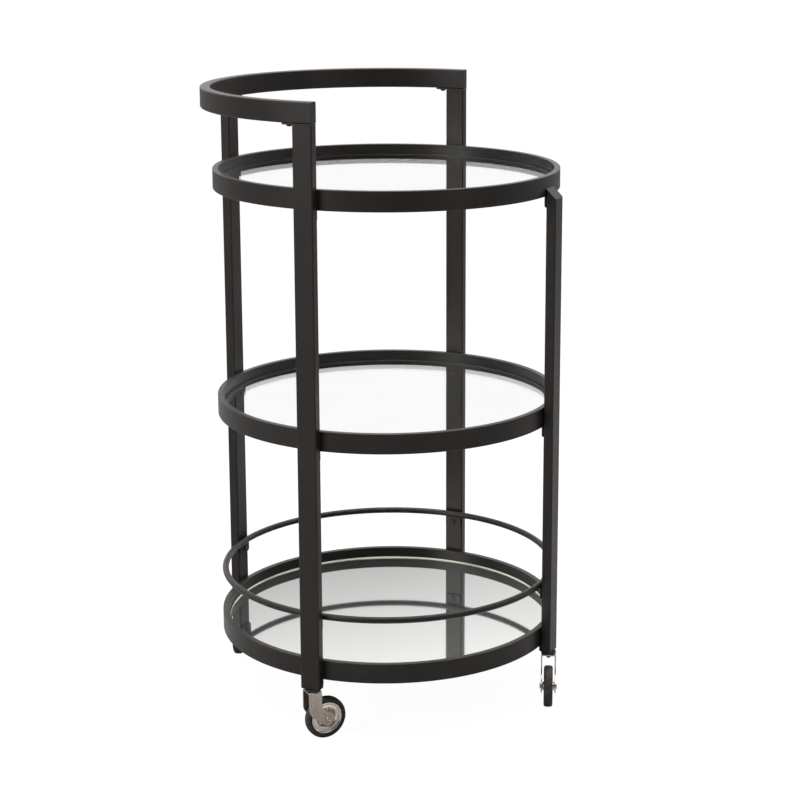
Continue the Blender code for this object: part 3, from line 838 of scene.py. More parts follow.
@dataclass(frozen=True)
class Finish:
    """A clouded finish with the wear and painted edge highlight, dust and relief that it needs."""

    name: str
    colours: tuple[Colour, Colour]
    cloud_scale: float
    contrast: float
    roughness: Span
    metallic: float = 0.0
    specular: float = 0.5
    cloud_share: float = 1.0
    edge_wear_and_highlight: RubAndHighlight | None = None
    dust: Colour | None = None
    skin: Skin | None = None
    DUST_AMOUNT = 0.05
    DUST_SCALE = 45.0

    def tint(self, b: NodeBoard, cloud: bpy.types.Node) -> Socket:
        """Gives the clouded colour under the wear."""
        share = b.math("MULTIPLY", cloud.outputs["Cloud"], self.cloud_share)
        return b.blend(share, *self.colours)

    def gloss(self, b: NodeBoard, shader: bpy.types.Node, cloud: bpy.types.Node) -> object:
        """Gives the roughness: one value, or a speckle between two."""
        low, high = self.roughness
        return low if low == high else b.remap(cloud.outputs["Speck"], WHOLE, self.roughness)

    def surface(self, b: NodeBoard, shader: bpy.types.Node) -> Socket:
        """Gives what goes to the material's output."""
        return shader.outputs[0]

    @staticmethod
    def dimple(
        b: NodeBoard, shader: bpy.types.Node, height: Socket, strength: float, depth: float
    ) -> None:
        """Gives a shader its relief.

        Args:
            b: The material's board.
            shader: The shader node.
            height: The relief's height socket.
            strength: The Bump node's strength.
            depth: The relief's real depth.
        """
        bump = b.add("ShaderNodeBump", Strength=strength, Distance=depth, Height=height)
        b.feed(shader.inputs["Normal"], bump.outputs[0])

    def build(self, effects: Effects) -> bpy.types.Material:
        """Makes the material.

        Args:
            effects: The shared effect groups.

        Returns:
            The material.
        """
        material = bpy.data.materials.new(self.name)
        material.use_nodes = True
        b = NodeBoard(material.node_tree)
        shader = b.add("ShaderNodeBsdfPrincipled")
        shader.inputs["Metallic"].default_value = self.metallic
        shader.inputs["Specular IOR Level"].default_value = self.specular
        cloud = effects.mottle.place(b, Scale=self.cloud_scale, Contrast=self.contrast)
        base = self.tint(b, cloud)
        rough = self.gloss(b, shader, cloud)
        if self.edge_wear_and_highlight:
            # The rub mask lightens the corners: partly real wear, partly a painted edge highlight.
            rub_and_highlight_node = effects.edge_rub.place(b, Width=self.edge_wear_and_highlight.width, Breakup=self.edge_wear_and_highlight.breakup)
            share = b.math("MULTIPLY", rub_and_highlight_node.outputs["Mask"], self.edge_wear_and_highlight.share)
            base = b.blend(share, base, self.edge_wear_and_highlight.colour)
            rough = b.math("SUBTRACT", rough, b.math("MULTIPLY", share, self.edge_wear_and_highlight.polish))
        if self.dust:
            dust = effects.dust.place(b, Amount=self.DUST_AMOUNT, Scale=self.DUST_SCALE)
            base = b.blend(dust.outputs["Mask"], base, self.dust)
        if self.skin:
            coat = effects.coat.place(b, Scale=self.skin.scale, Grain=self.skin.grain)
            height = coat.outputs["Height"]
            self.dimple(b, shader, height, self.skin.strength, self.skin.depth)
        b.feed(shader.inputs["Base Color"], base)
        b.feed(shader.inputs["Roughness"], rough)
        b.add("ShaderNodeOutputMaterial", Surface=self.surface(b, shader))
        return material


@dataclass(frozen=True)
class ClearGlass(Finish):
    """Clear float glass, which lets lamp light through."""

    shadow: Colour = (0.93, 0.95, 0.94)
    ior: float = 1.50

    def surface(self, b: NodeBoard, shader: bpy.types.Node) -> Socket:
        """Makes the glass refract what is seen and only tint the lamp light that crosses it.

        Args:
            b: The material's board.
            shader: The shader node.

        Returns:
            The mixed shader's socket.
        """
        shader.inputs["IOR"].default_value = self.ior
        shader.inputs["Transmission Weight"].default_value = 1.0
        through = b.add("ShaderNodeBsdfTransparent", Color=self.shadow)
        path = b.add("ShaderNodeLightPath").outputs
        lit = b.math("MAXIMUM", path["Is Shadow Ray"], path["Is Diffuse Ray"])
        mix = b.chain("ShaderNodeMixShader", lit, shader.outputs[0], through.outputs[0])
        return mix.outputs[0]


@dataclass(frozen=True)
class SilveredFace(Finish):
    """The silvered face of a glass mirror, darker towards one side by a painted reflection."""

    haze: Colour = (0.58, 0.59, 0.57)
    haze_share: float = 0.15
    painted_reflection_side: Triple = (0.68, 0.73, 0.0)
    reach: float = 0.19

    def tint(self, b: NodeBoard, cloud: bpy.types.Node) -> Socket:
        """Fades from the bright colour to the darker one, a painted reflection, with a light haze.

        Args:
            b: The material's board.
            cloud: The mottle group's node.

        Returns:
            The colour's socket.
        """
        # Painted reflection: the mirror's colour darkens towards one side.
        along = b.dot(b.where(), self.painted_reflection_side)
        silver = b.blend(b.remap(along, (-self.reach, self.reach)), *self.colours)
        share = b.math("MULTIPLY", cloud.outputs["Cloud"], self.haze_share)
        return b.blend(share, silver, self.haze)


@dataclass(frozen=True)
class PlatedMetal(Finish):
    """Nickel plate over steel, with fine rub marks and a soft haze."""

    grain_stretch: Triple = (1.0, 1.0, 0.12)
    grain_scale: float = 2600.0

    def gloss(self, b: NodeBoard, shader: bpy.types.Node, cloud: bpy.types.Node) -> object:
        """Adds fine lines to a cloudy haze, and lets the same lines into the relief.

        Args:
            b: The material's board.
            shader: The shader node.
            cloud: The mottle group's node.

        Returns:
            The roughness socket.
        """
        stretch = b.add("ShaderNodeMapping", Vector=b.where(), Scale=self.grain_stretch)
        marks = b.noise(stretch.outputs[0], self.grain_scale, 4.0, 0.6)
        self.dimple(b, shader, marks, 0.025, 0.02 * MM)
        haze = b.remap(cloud.outputs["Cloud"], WHOLE, self.roughness)
        return b.math("ADD", haze, b.remap(marks, (0.3, 0.7), (-0.04, 0.04)))


class Finishes:
    """Every finish of the cart, built once."""

    def __init__(self) -> None:
        """Builds the effect groups and then every material."""
        effects = Effects(Mottle(), EdgeRubAndHighlight(), CoatTexture(), SettledDust())
        self.paint = Finish(
            "blackened_bronze_paint",
            ((0.0105, 0.0078, 0.0064), (0.0165, 0.0125, 0.0103)),
            14.0,
            1.0,
            (0.33, 0.43),
            specular=0.30,
            # The paint's lighter rubbed edges are mostly a painted edge highlight.
            edge_wear_and_highlight=RubAndHighlight((0.075, 0.060, 0.048), 1.1 * MM, 0.55, 0.30, 0.1),
            dust=(0.16, 0.15, 0.14),
            skin=Skin(1100.0, 0.6, 0.18, 0.05 * MM),
        ).build(effects)
        self.glass = ClearGlass(
            "clear_float_glass",
            ((0.885, 0.895, 0.890), (0.855, 0.870, 0.865)),
            9.0,
            1.0,
            (0.0, 0.0),
        ).build(effects)
        self.seamed = Finish(
            "seamed_glass_rim",
            ((0.060, 0.085, 0.080), (0.12, 0.15, 0.14)),
            40.0,
            1.2,
            (0.30, 0.45),
        ).build(effects)
        # The mirror fades from the first colour to the darker second one: a painted reflection.
        self.silver = SilveredFace(
            "silvered_mirror",
            ((0.84, 0.845, 0.83), (0.36, 0.365, 0.355)),
            6.0,
            0.9,
            (0.045, 0.045),
            metallic=0.94,
        ).build(effects)
        # The bevel's cream colour is a painted highlight.
        self.polished = Finish(
            "polished_mirror_bevel",
            ((0.70, 0.67, 0.58), (0.66, 0.70, 0.61)),
            30.0,
            1.0,
            (0.14, 0.22),
            metallic=0.6,
        ).build(effects)
        self.backing = Finish(
            "mirror_backing_paint",
            ((0.19, 0.20, 0.21), (0.24, 0.25, 0.26)),
            25.0,
            1.2,
            (0.45, 0.6),
            skin=Skin(500.0, 0.3, 0.2, 0.05 * MM),
        ).build(effects)
        self.oxide = Finish(
            "black_oxide_steel",
            ((0.030, 0.027, 0.025), (0.060, 0.048, 0.040)),
            150.0,
            1.3,
            (0.30, 0.45),
            metallic=0.7,
            edge_wear_and_highlight=RubAndHighlight((0.30, 0.26, 0.22), 0.35 * MM, 0.4, 0.5),
        ).build(effects)
        self.nickel = PlatedMetal(
            "satin_nickel_plate",
            ((0.43, 0.36, 0.30), (0.55, 0.49, 0.43)),
            40.0,
            1.0,
            (0.24, 0.34),
            metallic=1.0,
            edge_wear_and_highlight=RubAndHighlight((0.72, 0.65, 0.57), 0.5 * MM, 0.3, 0.4),
        ).build(effects)
        # A lighter copy of the fork's nickel: painted light for the hub's bright highlights.
        self.hub = PlatedMetal(
            "polished_nickel_plate",
            ((0.80, 0.71, 0.61), (0.88, 0.82, 0.74)),
            40.0,
            1.0,
            (0.13, 0.20),
            metallic=1.0,
            edge_wear_and_highlight=RubAndHighlight((0.96, 0.93, 0.88), 0.5 * MM, 0.3, 0.4),
        ).build(effects)
        self.plastic = Finish(
            "moulded_black_nylon",
            ((0.012, 0.012, 0.013), (0.022, 0.022, 0.023)),
            90.0,
            1.0,
            (0.48, 0.62),
            skin=Skin(2200.0, 0.5, 0.3, 0.03 * MM),
        ).build(effects)
        self.rubber = Finish(
            "black_tyre_rubber",
            ((0.014, 0.013, 0.012), (0.045, 0.042, 0.038)),
            80.0,
            1.6,
            (0.50, 0.68),
            specular=0.45,
            cloud_share=0.5,
            edge_wear_and_highlight=RubAndHighlight((0.13, 0.115, 0.10), 1.4 * MM, 0.8, 0.25),
            skin=Skin(1500.0, 0.8, 0.25, 0.04 * MM),
        ).build(effects)


@dataclass(frozen=True)
class Part:
    """A part of the cart that takes its materials from the cart's finishes."""

    finishes: Finishes


# ------------------------------------------------------------------ shelves and rail


@dataclass(frozen=True)
class ScrewTab:
    """The small tabs that hang from the rings and the rail, each screwed to a post."""

    width: float = 22.0 * MM
    thickness: float = 2.0 * MM
    corner: float = 4.0 * MM
    root: float = 5.0 * MM
    inner_face: float = 213.4 * MM
    edge: float = 0.5 * MM

    def weld_to(self, piece: Workpiece, root_height: float, foot_height: float) -> None:
        """Welds one tab with round lower corners at every post.

        Args:
            piece: The ring or rail that carries the tabs.
            root_height: The height of the underside that they hang from.
            foot_height: The height of their lower edge.
        """
        half = self.width / 2
        foot = foot_height - root_height
        corners = [
            (half, self.root),
            (half, foot, self.corner),
            (-half, foot, self.corner),
            (-half, self.root),
        ]
        lift = Matrix.Translation((self.inner_face + self.thickness / 2, 0.0, root_height))
        for place in Place:
            tab = Workpiece.plate("tab", rounded(corners, steps=8), self.thickness)
            tab.soften(self.edge)
            tab.settle(place.turn() @ lift @ QUARTER_Z @ QUARTER_X)
            piece.combine(tab, "UNION")


@dataclass(frozen=True)
class ShelfRing(Part):
    """A shelf's flat-bar hoop with the ledge inside it that carries its pane."""

    shelf: Shelf
    wall: float = 7.5 * MM
    height: float = 24.5 * MM
    ledge_width: float = 5.0 * MM
    ledge_thickness: float = 2.1 * MM
    ledge_drop: float = 18.3 * MM
    edge: float = 0.9 * MM
    small_edge: float = 0.4 * MM
    steps: int = 216

    def profile(self, radius: float, top: float) -> list[Flat]:
        """Draws the ring's section.

        Args:
            radius: The ring's outer radius.
            top: The height of its top edge.

        Returns:
            The section's (radius, height) points.
        """
        bottom = top - self.height
        inner = radius - self.wall
        ledge_top = top - self.ledge_drop
        ledge_bottom = ledge_top - self.ledge_thickness
        lip = inner - self.ledge_width
        corners = [
            (radius, top, self.edge),
            (radius, bottom, self.edge),
            (inner, bottom, self.edge),
            (inner, ledge_bottom, self.small_edge),
            (lip, ledge_bottom, self.small_edge),
            (lip, ledge_top, self.small_edge),
            (inner, ledge_top, self.small_edge),
            (inner, top, self.edge),
        ]
        return rounded(corners)

    def build(self) -> None:
        """Turns the ring, welds its tabs and fits it."""
        node = f"{self.shelf.value}_shelf_ring"
        low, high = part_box(node)
        ring = Workpiece.turned(node + PIECE_SUFFIX, self.profile(high.x, high.z), self.steps)
        ScrewTab().weld_to(ring, high.z - self.height, low.z)
        ring.fit(node, Slot.PAINT, self.finishes.paint)


@dataclass(frozen=True)
class GalleryRail(Part):
    """The round rod rail above the bottom shelf."""

    rod: float = 4.0 * MM
    steps: int = 216
    NODE = "gallery_rail"

    def build(self) -> None:
        """Bends the rod into a hoop, welds its tabs and fits it."""
        low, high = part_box(self.NODE)
        height = high.z - self.rod
        radius = high.x - self.rod
        rail = Workpiece.hoop(self.NODE + PIECE_SUFFIX, radius, self.rod, height, self.steps)
        ScrewTab().weld_to(rail, height - self.rod, low.z)
        rail.fit(self.NODE, Slot.PAINT, self.finishes.paint)


@dataclass(frozen=True)
class Pane(Part):
    """A round pane of clear glass with a seamed rim."""

    shelf: Shelf
    seam: float = 0.6 * MM
    steps: int = 216
    SLOT = Slot.GLASS
    GLAZING = "glass"
    FLAT = 0.995

    def work_top(self, pane: Workpiece, height: float) -> None:
        """Seams the upper rim, which lies at a height."""
        pane.bevel(level_test(height), self.seam, 2)

    def materials(self) -> tuple[bpy.types.Material, ...]:
        """Lists the materials of its top, its rim and its underside."""
        return self.finishes.glass, self.finishes.seamed, self.finishes.glass

    def build(self) -> None:
        """Cuts the round blank, works both its rims, fits it and sorts its faces."""
        node = f"{self.shelf.value}_{self.GLAZING}"
        low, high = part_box(node)
        pane = Workpiece.disc(node + PIECE_SUFFIX, high.x, (low.z, high.z), self.steps)
        pane.bevel(level_test(low.z), self.seam, 2)
        self.work_top(pane, high.z)
        pane.fit(node, self.SLOT, *self.materials())
        for face in pane.obj.data.polygons:
            if abs(face.normal.z) <= self.FLAT:
                face.material_index = 1
            else:
                face.material_index = 0 if face.normal.z > 0.0 else 2


@dataclass(frozen=True)
class MirrorPane(Pane):
    """A round mirror whose polished rim carries a painted cream highlight."""

    rim_width: float = 1.2 * MM
    rim_depth: float = 1.7 * MM
    SLOT = Slot.MIRROR
    GLAZING = "mirror"

    def work_top(self, pane: Workpiece, height: float) -> None:
        """Sinks the silvered face a little inside a polished rim.

        Args:
            pane: The pane.
            height: The height of its top.
        """
        with pane.edit_mode("FACE"):
            pane.pick_faces(lambda normal: normal.z > 0.99)
            bpy.ops.mesh.inset(thickness=self.rim_width)
            bpy.ops.transform.translate(value=(0, 0, -self.rim_depth))

    def materials(self) -> tuple[bpy.types.Material, ...]:
        """Lists the materials of its face, its rim and its back."""
        return self.finishes.silver, self.finishes.polished, self.finishes.backing


# ------------------------------------------------------------------ posts and handle


class Tube:
    """The flat rectangular tube of the posts and the handle."""

    WALL = 1.5 * MM
    CORNER = 1.7 * MM
    RIM = 0.5 * MM
    CORNER_STEPS = 5


@dataclass(frozen=True)
class Posts(Part):
    """The three long posts and the short front one."""

    bore_depth: float = 120.0 * MM
    CAP_SLOPE = Vector((1.0, 0.0, 1.0)).normalized()

    def blank(self, place: Place, low: Vector, high: Vector) -> Workpiece:
        """Makes a solid bar with the tube's rounded long corners.

        Args:
            place: Which post it is for.
            low: The bar's lowest corner.
            high: Its highest corner.

        Returns:
            The bar.
        """
        bar = Workpiece.block(place.piece("post"), low, high)
        bar.bevel(upright, Tube.CORNER, Tube.CORNER_STEPS)
        bar.bevel(level_test(low.z), Tube.RIM, 2)
        return bar

    def finish(self, post: Workpiece, place: Place) -> None:
        """Trues up a post, stands it in its place and fits it.

        Args:
            post: The post.
            place: Which post it is.
        """
        post.true_up()
        post.settle(place.turn())
        post.fit(place.node("post"), Slot.PAINT, self.finishes.paint)

    def long_post(self, place: Place) -> None:
        """Makes a post that is open at both ends.

        Args:
            place: Which post.
        """
        low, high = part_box(Place.RIGHT.node("post"))
        post = self.blank(place, low, high)
        post.bevel(level_test(high.z), Tube.RIM, 2)
        with post.edit_mode("FACE"):
            post.pick_faces(lambda normal: abs(normal.z) > 0.99)
            bpy.ops.mesh.inset(thickness=Tube.WALL - Tube.RIM, use_boundary=True)
            bpy.ops.mesh.bridge_edge_loops()
        self.finish(post, place)

    def short_post(self) -> None:
        """Makes the front post with its slanted closed cap."""
        low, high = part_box(Place.FRONT.node("post"))
        right_low, right_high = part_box(Place.RIGHT.node("post"))
        bar_low = Vector((right_low.x, right_low.y, low.z))
        bar_high = Vector((right_high.x, right_high.y, high.z))
        post = self.blank(Place.FRONT, bar_low, bar_high)
        slope = self.CAP_SLOPE
        crown = Vector((bar_low.x, 0.0, high.z))
        with post.edit_mode("FACE", whole=True):
            bpy.ops.mesh.bisect(plane_co=crown, plane_no=slope, use_fill=True, clear_outer=True)
        post.bevel(
            lambda a, b: max(abs((a - crown).dot(slope)), abs((b - crown).dot(slope))) < 1e-5,
            Tube.RIM,
            3,
        )
        with post.edit_mode("FACE"):
            post.pick_faces(lambda normal: normal.z < -0.99)
            bpy.ops.mesh.inset(thickness=Tube.WALL - Tube.RIM, use_boundary=True)
            post.extrude((0, 0, self.bore_depth))
        self.finish(post, Place.FRONT)

    def build(self) -> None:
        """Makes all four posts."""
        for place in LONG_POSTS:
            self.long_post(place)
        self.short_post()


@dataclass(frozen=True)
class Handle(Part):
    """The half-ring handle that lies on the three long posts."""

    steps: int = 120
    NODE = "handle"

    def build(self) -> None:
        """Draws the tube's section, runs it round the half ring and closes its ends."""
        low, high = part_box(self.NODE)
        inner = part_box(Place.RIGHT.node("post"))[0].x
        sides = ((inner, low.z), (high.x, low.z), (high.x, high.z), (inner, high.z))
        section = rounded([(x, z, Tube.CORNER) for x, z in sides], steps=Tube.CORNER_STEPS)
        points = [Vector((x, low.y, z)) for x, z in section]
        handle = Workpiece.line(self.NODE + PIECE_SUFFIX, points)
        with handle.edit_mode(whole=True):
            handle.extrude((0, -low.y, 0))
            bpy.ops.mesh.spin(steps=self.steps, angle=-math.pi, center=(0, 0, 0), axis=(0, 0, 1))
            handle.extrude((0, low.y, 0))
            bpy.ops.mesh.select_all(action="SELECT")
            bpy.ops.mesh.remove_doubles(threshold=Workpiece.MERGE_DISTANCE)
            bpy.ops.mesh.fill_holes(sides=0)
        handle.true_up()
        at_end = low.y + 1e-5
        handle.bevel(lambda a, b: a.y < at_end and b.y < at_end, Tube.RIM, 3)
        handle.fit(self.NODE, Slot.PAINT, self.finishes.paint)


@dataclass(frozen=True)
class TonguePlates(Part):
    """The plates on the long posts' tops, each with a tongue screwed to the handle."""

    tongue_width: float = 9.0 * MM
    corner: float = 3.0 * MM
    edge: float = 0.3 * MM
    screw_reach: float = 6.5 * MM

    @staticmethod
    def reach(node: str, place: Place) -> float:
        """Measures how far a plate's tongue reaches sideways from its post's middle.

        Args:
            node: The plate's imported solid.
            place: Which post it lies on.

        Returns:
            The reach.
        """
        back = place.turn().inverted()
        mesh = frame["nodes"][node].data
        return max(abs((back @ vertex.co).y) for vertex in mesh.vertices)

    def build(self) -> None:
        """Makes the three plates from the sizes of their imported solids."""
        post_low, post_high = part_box(Place.RIGHT.node("post"))
        middle_radius = (post_low.x + post_high.x) / 2
        for place in LONG_POSTS:
            node = place.node("tongue_plate")
            side = 1.0 if place is Place.RIGHT else -1.0
            half = post_high.y * side
            tip = self.reach(node, place) * side
            middle = math.sqrt(middle_radius**2 - (post_high.y + self.screw_reach) ** 2)
            low_x = middle - self.tongue_width / 2
            high_x = middle + self.tongue_width / 2
            corners = [
                (post_low.x, -half),
                (post_high.x, -half),
                (post_high.x, half),
                (high_x, half),
                (high_x, tip, self.corner),
                (low_x, tip, self.corner),
                (low_x, half),
                (post_low.x, half),
            ]
            low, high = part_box(node)
            outline = rounded(corners, steps=8)
            plate = Workpiece.plate(node + PIECE_SUFFIX, outline, high.z - low.z)
            plate.soften(self.edge)
            plate.settle(place.turn() @ Matrix.Translation((0, 0, (low.z + high.z) / 2)))
            plate.fit(node, Slot.PAINT, self.finishes.paint)


# ------------------------------------------------------------------ screws


@dataclass(frozen=True)
class PanHeadScrews(Part):
    """Pan-head screws with a cross drive, modelled once and copied to every hole."""

    shank: float = 2.0 * MM
    head: float = 3.4 * MM
    head_height: float = 2.0 * MM
    shoulder: float = 0.9 * MM
    slot_width: float = 0.75 * MM
    slot_length: float = 3.6 * MM
    slot_depth: float = 1.1 * MM
    drive_turn: float = 37.0
    steps: int = 36

    def pattern(self, length: float) -> Workpiece:
        """Makes a screw with its seat at the origin, its shank along +Z and its head below.

        Args:
            length: The shank's length.

        Returns:
            The screw.
        """
        crown = -self.head_height
        corners = [
            (0.0, length),
            (self.shank, length, 0.4 * MM),
            (self.shank, 0.0),
            (self.head, 0.0, 0.15 * MM),
            (self.head, -self.shoulder, 0.5 * MM),
            (self.head * 0.74, crown * 0.93, 1.0 * MM),
            (0.0, crown),
        ]
        profile = rounded(corners, closed=False)
        screw = Workpiece.turned("screw_pattern", profile, self.steps, closed=False)
        width, span = self.slot_width / 2, self.slot_length / 2
        for x, y in ((width, span), (span, width)):
            low = (-x, -y, crown - self.slot_depth)
            high = (x, y, crown + self.slot_depth)
            screw.combine(Workpiece.block("drive", low, high), "DIFFERENCE")
        return screw

    def turn_of(self, node: str) -> Matrix:
        """Gives the way a screw points: outwards through a post, or up into the handle.

        Args:
            node: The screw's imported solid.

        Returns:
            Its turn.
        """
        if node.startswith("handle_screw"):
            return Matrix.Identity(4)
        return Place(node.rsplit("_", 1)[1]).turn() @ QUARTER_Y

    def build(self) -> None:
        """Copies the screw to every hole."""
        patterns: dict[float, Workpiece] = {}
        for index, node in enumerate(sorted(n for n in frame["nodes"] if "_screw_" in n)):
            turn = self.turn_of(node)
            back = turn.inverted()
            heights = [(back @ vertex.co).z for vertex in frame["nodes"][node].data.vertices]
            crown = min(heights)
            length = round(max(heights) - crown - self.head_height, 6)
            if length not in patterns:
                patterns[length] = self.pattern(length)
            low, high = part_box(node)
            middle = back @ ((low + high) / 2)
            seat = Matrix.Translation((middle.x, middle.y, crown + self.head_height))
            drive_turn = Matrix.Rotation(math.radians(self.drive_turn * index), 4, "Z")
            screw = patterns[length].copy(node + PIECE_SUFFIX)
            screw.settle(turn @ seat @ drive_turn)
            screw.fit(node, Slot.SCREW, self.finishes.oxide)
        for pattern in patterns.values():
            pattern.discard()


# ------------------------------------------------------------------ casters


@dataclass(frozen=True)
class Caster(Part):
    """One swivel caster with its pressed fork, hub, tyre, pins and socket."""

    place: Place
    sheet: float = 1.6 * MM
    strip: float = 17.0 * MM
    outer_width: float = 19.0 * MM
    fork_bend: float = 3.0 * MM
    fork_edge: float = 0.22 * MM
    eye_radius: float = 8.3 * MM
    eye_sweep: Span = (235.0, 415.0)
    pin_radius: float = 3.0 * MM
    pin_tail_radius: float = 4.4 * MM
    pin_tail: float = 5.2 * MM
    axle_radius: float = 2.5 * MM
    axle_head_radius: float = 3.6 * MM
    axle_head: float = 1.1 * MM
    hub_radius: float = 20.0 * MM
    tyre_half_width: float = 5.7 * MM
    running_gap: float = 0.06 * MM
    contact_gap: float = 0.3 * MM
    collar_radius: float = 9.2 * MM
    socket_overlap: float = 1.0 * MM
    steps: int = 96
    tyre_steps: int = 128
    pin_steps: int = 48
    # Half the hub's section in mm (radius, height, corner): a boss, a dished channel, a
    # crowned disc, a groove and a rim bead
    HUB_FACE = (
        (6.4, 2.0, 1.2),
        (9.4, 2.4, 2.4),
        (13.4, 4.9, 0.8),
        (16.9, 4.4, 0.25),
        (17.3, 4.0, 0.2),
        (17.8, 4.6, 0.3),
        (18.6, 5.25, 0.6),
        (19.7, 5.05, 0.4),
    )

    def joint(self, kind: str) -> Vector:
        """Gives the place at rest of one of this caster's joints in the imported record."""
        name = self.place.node(kind)
        return Vector(next(j["pos_m"] for j in frame["joints"] if j["name"] == name))

    def pivot(self) -> Vector:
        """Gives the swivel axis's place at floor level."""
        return Vector((*self.joint("swivel").xy, 0.0))

    def offset(self) -> Vector:
        """Gives the wheel's centre, measured from the pivot at floor level."""
        return self.joint("wheel_roll") - self.pivot()

    def trail(self) -> float:
        """Gives how far the axle trails behind the swivel axis."""
        return math.hypot(self.offset().x, self.offset().y)

    def caster_matrix(self) -> Matrix:
        """Gives the matrix that takes a caster trailing to +X to its place at rest."""
        heading = math.atan2(self.offset().y, self.offset().x)
        return Matrix.Translation(self.pivot()) @ Matrix.Rotation(heading, 4, "Z")

    def axle_place(self) -> Matrix:
        """Gives the move from the origin to the axle of a caster trailing to +X."""
        return Matrix.Translation((self.trail(), 0.0, self.offset().z))

    def put(
        self, piece: Workpiece, part: str, matrix: Matrix, slot: Slot, finish: bpy.types.Material
    ) -> None:
        """Moves a piece of the caster to its place and fits it.

        Args:
            piece: The piece.
            part: The part's name.
            matrix: Its move.
            slot: The record's slot for its finish.
            finish: Its material.
        """
        piece.settle(matrix)
        piece.fit(self.place.node(part), slot, finish)

    def spin(self, part: str, profile: Sequence[Flat], steps: int, closed: bool) -> Workpiece:
        """Turns one of the caster's round pieces about the Z axis."""
        return Workpiece.turned(self.place.piece(part), profile, steps, closed)

    def side_outline(self, top: float) -> list[Flat]:
        """Draws the fork from the side: a strip that sweeps back to a round eye.

        Args:
            top: The height of the fork's top.

        Returns:
            The outline's points.
        """
        half = self.strip / 2
        height = self.offset().z
        eye = arc_points((self.trail(), height), self.eye_radius, self.eye_sweep, 28)
        front_control = (-half, height + self.eye_radius * 0.7)
        back_control = (half, height + self.eye_radius * 1.5)
        front = sweep_points((-half, top * 0.66), front_control, eye[0], 14)
        back = sweep_points(eye[-1], back_control, (half, top * 0.74), 14)
        above = top + self.sheet
        return [(half, above), (-half, above), *front[:-1], *eye, *back[1:]]

    def front_outline(self, top: float) -> list[Flat]:
        """Draws the fork from the front: a strip bent into a U that hangs from its top.

        Args:
            top: The height of the fork's top.

        Returns:
            The outline's points.
        """
        outer = self.outer_width / 2
        inner = outer - self.sheet
        inner_bend = self.fork_bend - self.sheet
        corners = [
            (outer, 0.0),
            (outer, top, self.fork_bend),
            (-outer, top, self.fork_bend),
            (-outer, 0.0),
            (-inner, 0.0),
            (-inner, top - self.sheet, inner_bend),
            (inner, top - self.sheet, inner_bend),
            (inner, 0.0),
        ]
        return rounded(corners, steps=8)

    def build_fork(self) -> None:
        """Presses, bends and drills the fork."""
        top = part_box(self.place.node("fork"))[1].z
        side = self.side_outline(top)
        fork = Workpiece.plate(self.place.piece("fork"), side, self.outer_width * 1.5)
        fork.settle(QUARTER_X)
        reach = 3 * (self.trail() + self.strip)
        bent = Workpiece.plate("bent_strip", self.front_outline(top), reach)
        bent.settle(QUARTER_Z @ QUARTER_X)
        fork.combine(bent, "INTERSECT")
        radius = self.pin_radius + self.running_gap
        heights = (top - 3 * self.sheet, top + self.sheet)
        fork.combine(Workpiece.disc("pin_hole", radius, heights, self.pin_steps), "DIFFERENCE")
        radius = self.axle_radius + self.running_gap
        heights = (-self.outer_width, self.outer_width)
        axle_hole = Workpiece.disc("axle_hole", radius, heights, self.pin_steps)
        axle_hole.settle(self.axle_place() @ QUARTER_X)
        fork.combine(axle_hole, "DIFFERENCE")
        fork.true_up()
        fork.soften(self.fork_edge, angle=50.0)
        self.put(fork, "fork", self.caster_matrix(), Slot.NICKEL, self.finishes.nickel)

    def build_wheel(self) -> None:
        """Turns the axle rivet with a dimple in each head, then the hub and the tyre."""
        seat = self.outer_width / 2 + self.contact_gap
        face = seat + self.axle_head
        dimple = self.axle_head_radius * 0.42
        floor = face - self.axle_head * 0.75
        rivet = [
            (0.0, floor),
            (dimple * 0.7, floor, 0.2 * MM),
            (dimple, face, 0.15 * MM),
            (self.axle_head_radius * 0.86, face, 0.3 * MM),
            (self.axle_head_radius, seat, 0.1 * MM),
            (self.axle_radius, seat),
        ]
        boss = self.outer_width / 2 - self.sheet - self.contact_gap
        hub = [
            (self.axle_radius + self.running_gap, boss, 0.15 * MM),
            (4.9 * MM, boss, 0.4 * MM),
            *[tuple(size * MM for size in corner) for corner in self.HUB_FACE],
            (self.hub_radius, 4.1 * MM),
        ]
        radius = self.offset().z
        bore = self.hub_radius + self.contact_gap
        width = self.tyre_half_width
        tyre = [
            (bore, width * 0.84, 0.3 * MM),
            (bore + 1.1 * MM, width, 0.8 * MM),
            (radius - 0.15 * MM, width, 3.3 * MM),
            (radius - 0.10 * MM, 0.25 * MM),
            (radius, 0.08 * MM),
        ]
        axle_matrix = self.caster_matrix() @ self.axle_place() @ QUARTER_X
        metal, rubber = Slot.NICKEL, Slot.RUBBER
        for part, half, steps, bends, slot, finish in (
            ("axle", rivet, self.pin_steps, 4, metal, self.finishes.nickel),
            ("wheel_hub", hub, self.steps, 5, metal, self.finishes.hub),
            ("tyre", tyre, self.tyre_steps, 6, rubber, self.finishes.rubber),
        ):
            closed = part != "axle"
            piece = self.spin(part, rounded(mirrored(half), closed, bends), steps, closed)
            self.put(piece, part, axle_matrix, slot, finish)

    def build_king_pin(self) -> None:
        """Turns the king pin with its riveted tail."""
        low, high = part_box(self.place.node("king_pin"))
        tail_top = low.z + self.pin_tail
        corners = [
            (0.0, high.z),
            (self.pin_radius, high.z, 0.6 * MM),
            (self.pin_radius, tail_top),
            (self.pin_tail_radius, tail_top, 0.3 * MM),
            (self.pin_tail_radius * 0.92, tail_top - self.pin_tail * 0.35, 1.0 * MM),
            (self.pin_tail_radius * 0.40, tail_top - self.pin_tail * 0.90, 1.0 * MM),
            (0.0, low.z),
        ]
        pin = self.spin("king_pin", rounded(corners, closed=False), self.pin_steps, closed=False)
        move = Matrix.Translation(self.pivot())
        self.put(pin, "king_pin", move, Slot.NICKEL, self.finishes.nickel)

